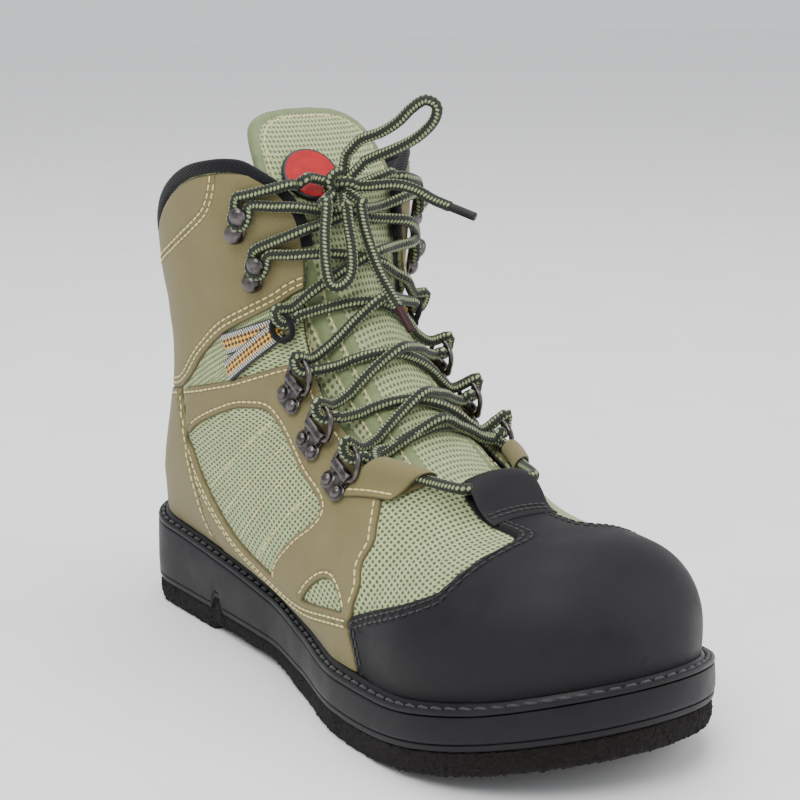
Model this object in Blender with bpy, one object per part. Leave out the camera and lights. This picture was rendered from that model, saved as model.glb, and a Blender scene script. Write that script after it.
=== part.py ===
"""Wading boot for the right foot: felt outsole, stitched-down rubber sole, last-shaped upper, lacing.

Metres, +Z up, toe towards +X, outer side towards -Y. The origin lies on the flat under the heel.
"""
import math

import bmesh
import bpy
import numpy as np
from mathutils import Matrix, Vector
from mathutils.bvhtree import BVHTree

for old in list(bpy.data.objects):
    bpy.data.objects.remove(old, do_unlink=True)

# Driving dimensions
SOLE_LENGTH = 0.3185
BALL_WIDTH = 0.129
COLLAR_HEIGHT = 0.203
FEATHER_HEIGHT = 0.0425       # floor to the line where upper and welt meet, at the heel
HEEL_ROUND = 0.040            # length over which the heel end closes
TOE_ROUND = 0.068
TOE_BOX_ROUND = 0.036         # length over which the toe box drops to its tip
TOE_SPRING = 0.019
WELT_WIDTH = 0.0065
HEEL_WELT_WIDTH = 0.0026
WELT_THICKNESS = 0.0042
WELT_SEAT = 0.0040             # how far the welt reaches in under the upper
INSOLE_CLEARANCE = 0.0012
FELT_THICKNESS = 0.0100
FELT_TOE_THICKNESS = 0.0095
HEEL_STEP = 0.0030            # the arch felt stands this far off the floor
BREAST_GROOVE_DEPTH = 0.0060
BREAST_GROOVE_WIDTH = 0.011
BREAST_AT = 0.078             # start of the groove in front of the heel
ARCH_END = 0.125
BALL_START = 0.170
SOLE_SIDE_BULGE = 0.0012
INSOLE_THICKNESS = 0.005
WALL = 0.0018
TONGUE_THICKNESS = 0.0048
PANEL_THICKNESS = 0.0012
CAP_THICKNESS = 0.0016
PATCH_THICKNESS = 0.0014
BINDING_WIDTH = 0.0052
THROAT_ROUND = 0.026          # length over which the throat opens behind the toe cap
THROAT_FRONT = 0.2155         # distance of the throat's front end from the back of the sole
TONGUE_RISE = 0.036           # how far the tongue stands out of the throat, along itself
LACE_DIAMETER = 0.0045
RING_WIRE = 0.0018
RING_RADIUS = 0.0066
RIVET_RADIUS = 0.0034
PLATE_THICKNESS = 0.0009
BARREL_RADIUS = 0.0024
BARREL_LENGTH = 0.0125
HOOK_RADIUS = 0.0042
HOOK_HEIGHT = 0.0088
BADGE_RADIUS = 0.0125
BADGE_THICKNESS = 0.0022
BADGE_AT = (0.112, -0.0120, 0.2010)
WEBBING_RING_RADIUS = 0.0058
WEBBING_RING_WIRE = 0.0026
WEBBING_RING_SHIFT = 0.0032   # of the ring's middle towards the throat
WEBBING_LEVEL = 4             # lacing level of the webbing rings, counted from the strap loops
AGLET_LENGTH = 0.012
DRAIN_RADIUS = 0.0040
PULL_LOOP_WIDTH = 0.016
PULL_LOOP_THICKNESS = 0.0022
GAP = 0.0003
PANEL_SEAM = 0.0006           # between panels that meet in one layer
TONGUE_CLEARANCE = 0.0018
BINDING_THICKNESS = 0.0038
BINDING_GAP = 0.0005
BINDING_FROM = 10.0           # row where the throat's binding starts
BINDING_LIFT = -0.0003        # of the roll's middle from the upper's outer face
SEAT_CLEARANCE = 0.0005       # under flat metal parts on the curved side
HARDWARE_BASE = 2 * GAP + PANEL_THICKNESS + SEAT_CLEARANCE
PATCH_HALF_WIDTH = 0.013
PATCH_HALF_HEIGHT = 0.016
PATCH_AT = 0.104
PATCH_CLEARANCE = 0.0006       # under the patch, over the coarser facets of the panels
BARREL_AT = 0.0072            # from the rivets to the barrel's axis
BARREL_RISE = 0.0046
RING_LIFT = 0.0012
HOOK_AT = 0.0085              # from the hook's rivet to its stem
HEEL_REST = 0.045             # from the back of the sole to the origin
STRAP_LOOP_RADIUS = 0.0042
STRAP_LOOP_BORE = 0.0029
STRAP_LOOP_RISE = 0.0051      # of the loop's axis over the upper
TAB_WIDTH = 0.026
TAB_LENGTH = 0.015
TAB_HEIGHT = 0.0076
TAB_WALL = 0.0011
LACE_CLEARANCE = 0.0009
LACE_CLIMB = 0.0075            # length over which a lace climbs from the tongue over the throat's edge
LACE_OVER_TONGUE = LACE_DIAMETER / 2 + LACE_CLEARANCE - WALL - TONGUE_CLEARANCE   # its middle over the last
LACE_OVER_PANELS = LACE_DIAMETER / 2 + LACE_CLEARANCE + GAP + PANEL_THICKNESS
LACE_STOPS = (0.0, 0.09, 0.18, 0.32, 0.5, 0.68, 0.82, 0.91, 1.0)
KNOT_SIZE = (0.0140, 0.0165, 0.0145)
KNOT_LEAD = 0.0045            # straight start of each lace out of the knot
AGLET_DIAMETER = 0.0036

# Shape of the last. Along: share of the feather's length from its heel end. Up: share of the collar's
# height. Half widths and throat: shares of the ball width. Widest: where the section is widest, from its
# low or back end. A row with no low height starts on the feather line.
LAST_COLUMNS = ("low_along", "low_up", "top_along", "top_up", "lateral", "medial",
                "widest", "back_round", "front_round", "bow", "throat")
LAST = (
    # toe tip
    (0.9990, None, 0.9990, 0.416, None, None, 0.24, 2.0, 2.2, 0.000, 0.210),
    # toe box
    (0.9000, None, 0.9000, 0.416, None, None, 0.22, 2.0, 2.2, 0.000, 0.210),
    # cap
    (0.7870, None, 0.7870, 0.416, None, None, 0.20, 2.0, 2.1, 0.000, 0.210),
    # vamp
    (0.6740, None, 0.6900, 0.463, 0.434, 0.411, 0.20, 2.0, 1.9, 0.000, 0.210),
    # instep
    (0.5120, None, 0.5930, 0.547, 0.411, 0.368, 0.20, 2.0, 1.9, 0.000, 0.235),
    # waist
    (0.3340, None, 0.5220, 0.640, 0.388, 0.357, 0.24, 2.0, 1.9, 0.000, 0.235),
    # heel
    (0.1560, None, 0.4830, 0.714, 0.364, 0.349, 0.30, 2.0, 1.9, 0.000, 0.215),
    # seat
    (0.0500, None, 0.4570, 0.764, 0.345, 0.333, 0.38, 2.1, 1.9, 0.010, 0.200),
    # heel corner
    (0.0000, None, 0.4440, 0.798, 0.337, 0.333, 0.42, 2.2, 2.0, 0.015, 0.190),
    # counter
    (0.0180, 0.355, 0.4310, 0.838, 0.335, 0.328, 0.47, 2.2, 2.1, 0.025, 0.184),
    # achilles
    (0.0430, 0.493, 0.4180, 0.877, 0.347, 0.338, 0.50, 2.2, 2.2, 0.039, 0.186),
    # ankle
    (0.0500, 0.631, 0.4020, 0.921, 0.372, 0.357, 0.52, 2.2, 2.4, 0.049, 0.200),
    # cuff
    (0.0430, 0.719, 0.3860, 0.961, 0.392, 0.372, 0.55, 2.2, 2.5, 0.059, 0.235),
    # collar
    (0.0460, 0.788, 0.3700, 1.000, 0.402, 0.385, 0.57, 2.2, 2.6, 0.064, 0.320),
)
CORNER = 8                    # row at the back end of the feather line
COLLAR_MARGIN = 0.30          # rows below the collar that the overlays leave bare
THROAT_MARGIN = 0.045         # turn beside the throat that the overlays leave bare
FIRST_BODY_ROW = 3            # rows before it take their width from the sole
BOW_SHAPE = ((0.0, 0.0), (0.15, -0.10), (0.30, 0.35), (0.45, 0.85), (0.60, 1.0), (0.80, 0.75), (1.0, 0.0))

# Sole outline: share of its length, outer and inner half width as shares of the ball width
SOLE_OUTLINE = (
    (0.00, 0.330, 0.330),
    (0.12, 0.345, 0.340),
    (0.26, 0.345, 0.330),
    (0.40, 0.350, 0.310),
    (0.52, 0.405, 0.335),
    (0.66, 0.490, 0.425),
    (0.76, 0.500, 0.490),
    (0.86, 0.475, 0.500),
    (0.94, 0.430, 0.480),
    (1.00, 0.390, 0.450),
)
TOE_CENTRE = 0.030            # the toe's middle lies this share of the ball width to the inner side
# Feather line: share of the sole's length, share of the feather height
FEATHER_LINE = ((0.0, 1.0), (0.12, 0.965), (0.30, 0.85), (0.45, 0.73), (0.62, 0.66), (0.75, 0.682),
                (0.88, 0.835), (1.0, 1.106))

# Panel outlines in the side view: share of the sole's length, share of the collar height
CAP_EDGE = ((0.690, 0.05), (0.688, 0.12), (0.672, 0.176), (0.660, 0.228), (0.689, 0.256), (0.757, 0.300),
            (0.799, 0.334), (0.820, 0.360), (0.804, 0.386), (0.762, 0.407), (0.727, 0.424), (0.727, 0.60))
COUNTER_EDGE = ((0.268, 0.12), (0.262, 0.20), (0.243, 0.293), (0.203, 0.387), (0.179, 0.480))
QUARTER_TOP = ((0.178, 0.522), (0.190, 0.524), (0.292, 0.566), (0.353, 0.599), (0.390, 0.620), (0.46, 0.655))
STRAP_FRONT = ((0.660, 0.250), (0.664, 0.290), (0.652, 0.325), (0.653, 0.365), (0.640, 0.395),
               (0.618, 0.452), (0.610, 0.520))
MAIN_WINDOW = ((0.228, 0.455), (0.300, 0.505), (0.350, 0.524), (0.388, 0.526), (0.430, 0.495),
               (0.484, 0.438), (0.548, 0.386), (0.511, 0.340), (0.473, 0.307), (0.426, 0.297),
               (0.358, 0.323), (0.286, 0.363), (0.243, 0.414))
SMALL_WINDOW = ((0.556, 0.282), (0.587, 0.313), (0.622, 0.288), (0.634, 0.271), (0.590, 0.269))
CUFF_EDGE = ((-0.05, 0.478), (0.060, 0.480), (0.130, 0.500), (0.179, 0.526), (0.236, 0.606), (0.280, 0.661),
             (0.335, 0.709), (0.371, 0.742), (0.402, 0.778), (0.50, 0.86))
# Lacing points from the toe up: kind, distance along and height of the mount in the side view
LACING = (
    ("ring", 0.5535, 0.431),
    ("ring", 0.4865, 0.488),
    ("ring", 0.4260, 0.560),
    ("hook", 0.3420, 0.788),
    ("hook", 0.3300, 0.887),
)
WEBBING_OUTLINE = ((0.290, 0.648), (0.360, 0.706), (0.372, 0.700), (0.374, 0.672), (0.312, 0.582),
                   (0.288, 0.574), (0.284, 0.586), (0.336, 0.650), (0.305, 0.628))
WEBBING_RING_AT = (0.378, 0.682)
# Ends of the strap loops beside the throat: row of the last, half width
STRAP_LOOP_ENDS = ((3.72, 0.0285), (3.24, 0.0215))
TAB_ROW = 2.70
TOP_BAR_END = (12.45, 0.0200, 0.0050)
# Tongue: row of the last that it lies under, half width
TONGUE_WIDTHS = ((2.4, 0.010), (2.8, 0.017), (3.2, 0.024), (4.0, 0.031), (5.0, 0.034), (6.0, 0.034),
                 (7.0, 0.033), (8.0, 0.032), (9.0, 0.0315), (10.0, 0.032), (11.0, 0.034), (12.1, 0.0355))
# Tongue above the collar: shares of its rise backwards and upwards, half width
TONGUE_TOP = ((0.17, 0.20, 0.0350), (0.39, 0.45, 0.0335), (0.64, 0.67, 0.0300), (0.83, 0.81, 0.0235),
              (0.93, 0.88, 0.0160), (0.965, 0.905, 0.0080))
PULL_LOOP_PATH = ((-0.0023, -0.030), (-0.0070, -0.020), (-0.0100, -0.008), (-0.0090, 0.0010),
                  (-0.0025, 0.0035))
DRAINS_AT = ((0.398, 0.215), (0.485, 0.196))
# Bow and free ends, from the back of the sole
KNOT_AT = (0.1265, -0.0060, 0.1980)
LOOP_UP = ((0.1275, -0.0030, 0.2115), (0.1325, 0.0000, 0.2170), (0.1395, 0.0045, 0.2200),
           (0.1460, 0.0085, 0.2245), (0.1500, 0.0125, 0.2300), (0.1540, 0.0165, 0.2335),
           (0.1570, 0.0200, 0.2310), (0.1555, 0.0195, 0.2250), (0.1510, 0.0155, 0.2190),
           (0.1450, 0.0105, 0.2145), (0.1340, 0.0015, 0.2085))
END_RIGHT = ((0.1350, 0.0030, 0.1983), (0.1430, 0.0105, 0.1990), (0.1490, 0.0160, 0.1970),
             (0.1550, 0.0200, 0.1935), (0.1610, 0.0240, 0.1910))
# Hanging over the tongue: row of the last, half width, height over the last
LOOP_DOWN = ((11.20, -0.0150, 0.0100), (10.20, -0.0165, 0.0090), (9.10, -0.0165, 0.0090),
             (8.15, -0.0155, 0.0085), (7.80, -0.0125, 0.0075), (8.20, -0.0092, 0.0070),
             (9.20, -0.0080, 0.0070), (10.30, -0.0080, 0.0078), (11.05, -0.0080, 0.0095))
END_DOWN = ((11.00, -0.0022, 0.0100), (10.20, -0.0018, 0.0072), (9.20, -0.0012, 0.0064),
            (8.00, -0.0002, 0.0064), (6.90, 0.0010, 0.0064), (6.20, 0.0020, 0.0064))
# Ways out of the knot
LOOP_UP_EXITS = ((0.00, 0.20, 0.98), (0.50, 0.50, 0.70))
LOOP_DOWN_EXITS = ((0.20, -0.85, -0.49), (0.62, -0.30, -0.72))
END_RIGHT_EXITS = ((0.68, 0.72, 0.02),)
END_DOWN_EXITS = ((0.78, 0.35, -0.52),)
TOP_BAR_EXITS = ((-0.45, -0.85, 0.27), (-0.35, 0.93, -0.05))


# Curves and the last's surface

def curve_through(rows, column, at):
    """Smooth curve, without overshoot, through one column of a table whose first column is its place."""
    place = np.array([row[0] for row in rows], float)
    value = np.array([row[column] for row in rows], float)
    at = np.asarray(at, float)
    step = np.diff(place)
    slope = np.diff(value) / step
    tangent = np.empty(len(place))
    tangent[0] = slope[0]
    tangent[-1] = slope[-1]
    for i in range(1, len(place) - 1):
        if slope[i - 1] * slope[i] > 0:
            first = 2 * step[i] + step[i - 1]
            second = step[i] + 2 * step[i - 1]
            tangent[i] = (first + second) / (first / slope[i - 1] + second / slope[i])
        else:
            tangent[i] = 0.0
    i = np.clip(np.searchsorted(place, at) - 1, 0, len(place) - 2)
    t = np.clip((at - place[i]) / step[i], 0, 1)
    return (value[i] * (1 + 2 * t) * (1 - t) ** 2 + tangent[i] * step[i] * t * (1 - t) ** 2
            + value[i + 1] * t * t * (3 - 2 * t) + tangent[i + 1] * step[i] * t * t * (t - 1))


def closing(distance, length, power):
    """0 at an end of the outline, 1 from the given length on, round in between."""
    inner = 1 - np.clip(distance / length, 0, 1)
    return (1 - inner ** power) ** (1 / power)


def smooth(value, low, high):
    t = np.clip((value - low) / (high - low), 0, 1)
    return t * t * (3 - 2 * t)


def sole_sides(x, inset=0.0, heel_inset=0.0):
    """Outer and inner edge (y) of the sole's outline at distance x from its back."""
    share = np.asarray(x, float) / SOLE_LENGTH
    outer = curve_through(SOLE_OUTLINE, 1, share) * BALL_WIDTH - inset
    inner = curve_through(SOLE_OUTLINE, 2, share) * BALL_WIDTH - inset
    centre = smooth(share, 0.6, 1.0) * TOE_CENTRE * BALL_WIDTH
    close = (closing(x - heel_inset, HEEL_ROUND, 2.2)
             * closing(SOLE_LENGTH - inset - x, TOE_ROUND, 2.2))
    return centre - (outer + centre) * close, centre + (inner - centre) * close


def feather_height(x):
    return curve_through(FEATHER_LINE, 1, np.asarray(x, float) / SOLE_LENGTH) * FEATHER_HEIGHT


def toe_spring(x):
    return TOE_SPRING * np.clip((np.asarray(x, float) / SOLE_LENGTH - 0.68) / 0.32, 0, 1) ** 1.8


def last_column(name, row):
    index = LAST_COLUMNS.index(name)
    values = []
    for number, entry in enumerate(LAST):
        value = entry[index]
        if value is not None:
            values.append((number, value))
    return curve_through(values, 1, np.clip(row, values[0][0], values[-1][0]))


def last_section(row, side):
    """Ends, half width and roundness of the last's section at a row number, which may be fractional."""
    feather_length = SOLE_LENGTH - WELT_WIDTH - HEEL_WELT_WIDTH
    low_x = HEEL_WELT_WIDTH + last_column("low_along", row) * feather_length
    top_x = HEEL_WELT_WIDTH + last_column("top_along", row) * feather_length
    table = [(CORNER, float(feather_height(HEEL_WELT_WIDTH)) / COLLAR_HEIGHT)]
    table += [(n, LAST[n][1]) for n in range(CORNER + 1, len(LAST))]
    low_z = np.where(row <= CORNER, feather_height(low_x),
                     curve_through(table, 1, np.maximum(row, CORNER)) * COLLAR_HEIGHT)
    top_z = last_column("top_up", row) * COLLAR_HEIGHT
    drop = closing(SOLE_LENGTH - WELT_WIDTH - low_x, TOE_BOX_ROUND, 2.3)
    top_z = np.where(row < FIRST_BODY_ROW + 1, low_z + (top_z - low_z) * drop, top_z)
    outer, inner = sole_sides(low_x, WELT_WIDTH, HEEL_WELT_WIDTH)
    foot = -outer if side < 0 else inner
    body = last_column("lateral" if side < 0 else "medial", row) * BALL_WIDTH
    mix = smooth(row, FIRST_BODY_ROW - 1, FIRST_BODY_ROW)
    width = foot * 1.015 * (1 - mix) + body * mix
    low_share = np.where(row < CORNER, np.clip(foot / np.maximum(width, 1e-6), 0, 1), 0.0)
    return low_x, low_z, top_x, top_z, width, low_share


def last_point(row, turn, side):
    """Point of the last's surface. turn 0 is the feather or the back, 1 the widest line, 2 the top."""
    row, turn = np.broadcast_arrays(np.asarray(row, float), np.asarray(turn, float))
    low_x, low_z, top_x, top_z, width, low_share = last_section(row, side)
    widest = last_column("widest", row)
    back = last_column("back_round", row)
    front = last_column("front_round", row)
    low_angle = np.clip(turn, 0, 1) * math.pi / 2
    top_angle = np.clip(turn - 1, 0, 1) * math.pi / 2
    low_part = np.clip(np.cos(low_angle), 0, 1) ** (2 / back)
    top_part = np.clip(np.sin(top_angle), 0, 1) ** (2 / front)
    t = np.where(turn < 1, widest * (1 - low_part), widest + (1 - widest) * top_part)
    low_y = (1 - (1 - low_share ** back) * low_part ** back) ** (1 / back)
    top_y = np.clip(np.cos(top_angle), 0, 1) ** (2 / front)
    y = width * np.where(turn < 1, low_y, top_y) * side
    bow = last_column("bow", row) * COLLAR_HEIGHT * curve_through(BOW_SHAPE, 1, t)
    x = low_x + (top_x - low_x) * t
    z = low_z + (top_z - low_z) * t + bow
    return np.stack([x, y, z], -1)


def turn_at(row, y):
    """Turn at which the section's upper part has half width y."""
    row = np.asarray(row, float)
    side = -1 if y < 0 else 1
    width = last_section(row, side)[4]
    front = last_column("front_round", row)
    share = np.clip(abs(y) / np.maximum(width, 1e-6), 0, 1)
    return 1 + np.arccos(share ** (front / 2)) / (math.pi / 2)


def throat_turn(row, side):
    """Where the section stops at the throat's edge, or 2 where it is closed."""
    _, _, top_x, _, width, _ = last_section(row, side)
    half = last_column("throat", row) * BALL_WIDTH * closing(THROAT_FRONT - top_x, THROAT_ROUND, 2.0)
    half = np.where(top_x < THROAT_FRONT, half, 0.0)
    front = last_column("front_round", row)
    share = np.clip(half / np.maximum(width, 1e-6), 0, 1)
    return 1 + np.arccos(share ** (front / 2)) / (math.pi / 2)


# Mesh helpers

def material(name, colour, roughness, metallic=0.0):
    mat = bpy.data.materials.new(name)
    mat.use_nodes = True
    mat.diffuse_color = (*colour, 1.0)
    shader = mat.node_tree.nodes["Principled BSDF"]
    shader.inputs["Base Color"].default_value = (*colour, 1.0)
    shader.inputs["Roughness"].default_value = roughness
    shader.inputs["Metallic"].default_value = metallic
    return mat


def place(name, bm, mat, sharp=35.0):
    """Turn a mesh measured from the back of the sole into a named object."""
    bmesh.ops.translate(bm, verts=bm.verts, vec=(-HEEL_REST, 0, 0))
    mesh = bpy.data.meshes.new(name)
    bm.to_mesh(mesh)
    bm.free()
    mesh.shade_smooth()
    mesh.set_sharp_from_angle(angle=math.radians(sharp))
    mesh.materials.append(mat)
    obj = bpy.data.objects.new(name, mesh)
    bpy.context.collection.objects.link(obj)
    return obj


def hide(obj):
    obj.hide_render = True
    obj.display_type = "WIRE"
    obj.hide_viewport = False
    return obj


def boolean(obj, other, operation):
    mod = obj.modifiers.new(other.name, "BOOLEAN")
    mod.operation = operation
    mod.solver = "EXACT"
    mod.object = hide(other)
    return obj


def ring_faces(bm, rings, closed=True):
    """Join rows of vertices, each row with as many, into quads."""
    for low, high in zip(rings, rings[1:]):
        count = len(low)
        for i in range(count if closed else count - 1):
            j = (i + 1) % count
            bm.faces.new((low[i], low[j], high[j], high[i]))


def tidy(bm):
    bmesh.ops.remove_doubles(bm, verts=bm.verts, dist=1e-6)
    bmesh.ops.recalc_face_normals(bm, faces=bm.faces)
    return bm


def station_rows():
    """Row numbers of the upper's sections, closer together at the toe, the throat's end and the heel."""
    rows = [0, 0.06, 0.24, 0.55]
    rows += [1, 1.5]
    rows += [2, 2.5]
    rows += [3, 3.04, 3.12, 3.3]
    rows += list(np.linspace(3.6, 7, 5)[:-1])
    rows += [7, 7.6]
    rows += list(np.linspace(8, len(LAST) - 1.0 - COLLAR_MARGIN, 6)[:-1])
    return rows


def last_sheet(low_steps=3, top_steps=4):
    """The upper's outer surface as an open sheet: closed over the toe, open at throat, collar and below.

    Faces of the margin along throat and collar, which the overlays leave bare, have material index 1.
    """
    bm = bmesh.new()
    rows = station_rows() + [len(LAST) - 1.0 - COLLAR_MARGIN, len(LAST) - 1.0]
    tips = []
    for side in (-1, 1):
        rings = []
        ends = []
        for row in rows:
            end = float(throat_turn(row, side))
            turns = list(np.linspace(0, 1, low_steps + 1)[:-1])
            turns += list(np.linspace(1, end - THROAT_MARGIN, top_steps + 1)) + [end]
            rings.append([bm.verts.new(p) for p in last_point(row, turns, side)])
            ends.append(end)
        count = len(rings[0])
        for k in range(len(rows) - 1):
            open_here = ends[k] < 2 - 1e-6 and ends[k + 1] < 2 - 1e-6
            for i in range(count - 1):
                face = bm.faces.new((rings[k][i], rings[k][i + 1], rings[k + 1][i + 1], rings[k + 1][i]))
                if k == len(rows) - 2 or (open_here and i == count - 2):
                    face.material_index = 1
        tips.append(rings[0])
    bm.faces.new(tips[0] + tips[1][-2::-1])
    bmesh.ops.remove_doubles(bm, verts=bm.verts, dist=1e-5)
    bmesh.ops.recalc_face_normals(bm, faces=bm.faces)
    if max(bm.faces, key=lambda f: f.calc_center_median().z).normal.z < 0:
        bmesh.ops.reverse_faces(bm, faces=bm.faces)
    bmesh.ops.triangulate(bm, faces=bm.faces, quad_method="FIXED")
    bm.normal_update()
    return bm


def above_feather(point):
    """The same point, but not lower than the line on which the upper stands."""
    return Vector((point.x, point.y, max(point.z, float(feather_height(point.x)))))


def shell(name, low, high, mat, trimmed=True):
    """Closed wall between two offsets of the last's surface."""
    sheet = last_sheet()
    faces = [f for f in sheet.faces if not (trimmed and f.material_index == 1)]
    used = {v for f in faces for v in f.verts}
    bm = bmesh.new()
    outer = {v: bm.verts.new(above_feather(v.co + v.normal * high)) for v in sheet.verts if v in used}
    inner = {v: bm.verts.new(above_feather(v.co + v.normal * low)) for v in sheet.verts if v in used}
    kept = set(faces)
    for face in faces:
        bm.faces.new([outer[v] for v in face.verts])
        bm.faces.new([inner[v] for v in face.verts][::-1])
        for loop in face.loops:
            if not any(f in kept and f is not face for f in loop.edge.link_faces):
                start = loop.vert
                end = loop.link_loop_next.vert
                bm.faces.new((outer[end], outer[start], inner[start], inner[end]))
    sheet.free()
    return place(name, bm, mat)


def rounded(points, closed, steps=3):
    """Catmull-Rom curve through hand-set points."""
    pts = [Vector(p) for p in points]
    count = len(pts)
    out = []
    for i in range(count if closed else count - 1):
        if closed:
            a, b, c, d = (pts[(i + k - 1) % count] for k in range(4))
        else:
            a, b, c, d = (pts[min(max(i + k - 1, 0), count - 1)] for k in range(4))
        for k in range(steps):
            t = k / steps
            out.append(0.5 * ((2 * b) + (c - a) * t + (2 * a - 5 * b + 4 * c - d) * t * t
                              + (3 * b - a - 3 * c + d) * t ** 3))
    if not closed:
        out.append(pts[-1])
    return out


def side_prism(name, outline, low_y=-0.12, high_y=0.12):
    """Cutter along Y from an outline given in shares of length and collar height."""
    bm = bmesh.new()
    ring = []
    for y in (low_y, high_y):
        ring.append([bm.verts.new((p[0] * SOLE_LENGTH, y, p[1] * COLLAR_HEIGHT)) for p in outline])
    ring_faces(bm, ring)
    bm.faces.new(ring[0])
    bm.faces.new(ring[1])
    tidy(bm)
    return hide(place(name, bm, LEATHER))


def curve_line(outline, closed=False, steps=3):
    """Side-view curve through an outline's points, in the same shares."""
    return [(p.x, p.y) for p in rounded([(q[0], q[1], 0) for q in outline], closed, steps)]


def beside(line, distance):
    """Side-view line moved to the left of its own direction by a real distance."""
    out = []
    for i, point in enumerate(line):
        before = line[max(i - 1, 0)]
        after = line[min(i + 1, len(line) - 1)]
        along = (after[0] - before[0]) * SOLE_LENGTH
        up = (after[1] - before[1]) * COLLAR_HEIGHT
        size = math.hypot(along, up)
        out.append((point[0] - up / size * distance / SOLE_LENGTH,
                    point[1] + along / size * distance / COLLAR_HEIGHT))
    return out


def shifted(points, along, up):
    return [(p[0] + along / SOLE_LENGTH, p[1] + up / COLLAR_HEIGHT) for p in points]


# Materials
LEATHER = material("khaki nubuck", (0.27, 0.235, 0.14), 0.62)
MESH = material("sage mesh", (0.32, 0.38, 0.24), 0.75)
RUBBER_CAP = material("charcoal toe rubber", (0.06, 0.055, 0.065), 0.55)
RUBBER = material("sole rubber", (0.07, 0.07, 0.078), 0.5)
FELT = material("brown felt", (0.016, 0.011, 0.009), 0.95)
BINDING = material("navy binding", (0.018, 0.016, 0.024), 0.8)
METAL = material("blackened steel", (0.045, 0.042, 0.05), 0.3, 0.9)
LACE = material("dark green lace", (0.09, 0.11, 0.06), 0.8)
BADGE = material("red badge", (0.85, 0.06, 0.07), 0.45)
WEBBING = material("checked webbing", (0.75, 0.5, 0.08), 0.7)
FOAM = material("grey insole", (0.12, 0.12, 0.12), 0.9)


# Sole

def sole_shares(count):
    """Places along the sole as shares: close at both ends, with both edges of the heel's groove."""
    shares = [(1 - math.cos(math.pi * i / (count - 1))) / 2 for i in range(count)]
    groove = [(BREAST_AT + BREAST_GROOVE_WIDTH * k) / SOLE_LENGTH for k in (-0.25, 0.0, 0.3, 0.7, 1.0, 1.25)]
    far = [s for s in shares if min(abs(s - g) for g in groove) > 0.012]
    return sorted(far + groove)


def outline_stations(count, start, end):
    """Distances along the sole, close together at both ends."""
    return [start + (end - start) * (1 - math.cos(math.pi * i / (count - 1))) / 2 for i in range(count)]


def sole_body(name, stations, levels, mat):
    """Slab over the sole's outline. Each level: inset of its edge, height as a function of x."""
    bm = bmesh.new()
    rings = []
    for inset, heel_inset, height in levels:
        start = heel_inset + 1e-5
        end = SOLE_LENGTH - inset - 1e-5
        ring = []
        for side in (0, 1):
            order = stations if side == 0 else stations[::-1]
            for share in order:
                x = start + (end - start) * share
                y = float(sole_sides(x, inset, heel_inset)[side])
                ring.append(bm.verts.new((x, y, float(height(x)))))
        rings.append(ring)
    ring_faces(bm, rings)
    count = len(stations)
    for ring in (rings[0], rings[-1]):
        for i in range(count - 1):
            bm.faces.new((ring[i], ring[i + 1], ring[-2 - i], ring[-1 - i]))
    tidy(bm)
    return place(name, bm, mat)


def breast_groove(x):
    """Height that the groove in front of the heel takes out of the rubber."""
    middle = BREAST_AT + BREAST_GROOVE_WIDTH / 2
    distance = abs(x - middle) / (BREAST_GROOVE_WIDTH / 2)
    return BREAST_GROOVE_DEPTH * float(np.clip(1.6 * (1 - distance), 0, 1)) if distance < 1 else 0.0


def felt_bottom(x):
    arch = HEEL_STEP * float(smooth(x, BREAST_AT, BREAST_AT + 0.004) * (1 - smooth(x, ARCH_END, BALL_START)))
    return arch + float(toe_spring(x))


def rubber_bottom(x):
    thick = FELT_THICKNESS + (FELT_TOE_THICKNESS - FELT_THICKNESS) * x / SOLE_LENGTH
    return thick + float(toe_spring(x)) + breast_groove(x)


def rubber_top(x):
    return float(feather_height(x)) - WELT_THICKNESS


def make_sole():
    shares = sole_shares(21)
    sole_body("outsole_felt", shares, [
        (0.0022, 0.0022, felt_bottom),
        (0.0004, 0.0004, lambda x: felt_bottom(x) + 0.0016),
        (0.0004, 0.0004, lambda x: rubber_bottom(x) - GAP - 0.0008),
        (0.0012, 0.0012, lambda x: rubber_bottom(x) - GAP),
    ], FELT)
    sole_body("midsole", shares, [
        (0.0012, 0.0012, rubber_bottom),
        (0.0, 0.0, lambda x: rubber_bottom(x) + 0.0018),
        (-SOLE_SIDE_BULGE * 0.2, 0.0, lambda x: (rubber_bottom(x) + rubber_top(x)) / 2),
        (0.0002, 0.0002, lambda x: rubber_top(x) - 0.0016),
        (0.0014, 0.0012, rubber_top),
    ], RUBBER)


def make_welt():
    """Strip that the upper stands on: flat stitched margin and rounded outer edge."""
    stations = outline_stations(22, 0.0, 1.0)
    section = (
        (0.0012, 0.0008, 0.0),
        (0.0004, 0.0003, 0.0016),
        (0.0010, 0.0006, 0.0032),
        (0.0028, 0.0014, WELT_THICKNESS - 3 * GAP),
        (WELT_WIDTH + WELT_SEAT, HEEL_WELT_WIDTH + WELT_SEAT, WELT_THICKNESS - 3 * GAP),
        (WELT_WIDTH + WELT_SEAT, HEEL_WELT_WIDTH + WELT_SEAT, 0.0),
    )
    bm = bmesh.new()
    rings = []
    for inset, heel_inset, rise in section:
        start = heel_inset + 1e-5
        end = SOLE_LENGTH - inset - 1e-5
        ring = []
        for side in (0, 1):
            order = stations if side == 0 else stations[::-1]
            for share in order:
                x = start + (end - start) * share
                y = float(sole_sides(x, inset, heel_inset)[side])
                ring.append(bm.verts.new((x, y, rubber_top(x) + GAP + rise)))
        rings.append(ring)
    ring_faces(bm, rings + rings[:1])
    tidy(bm)
    return place("welt", bm, RUBBER)


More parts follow.
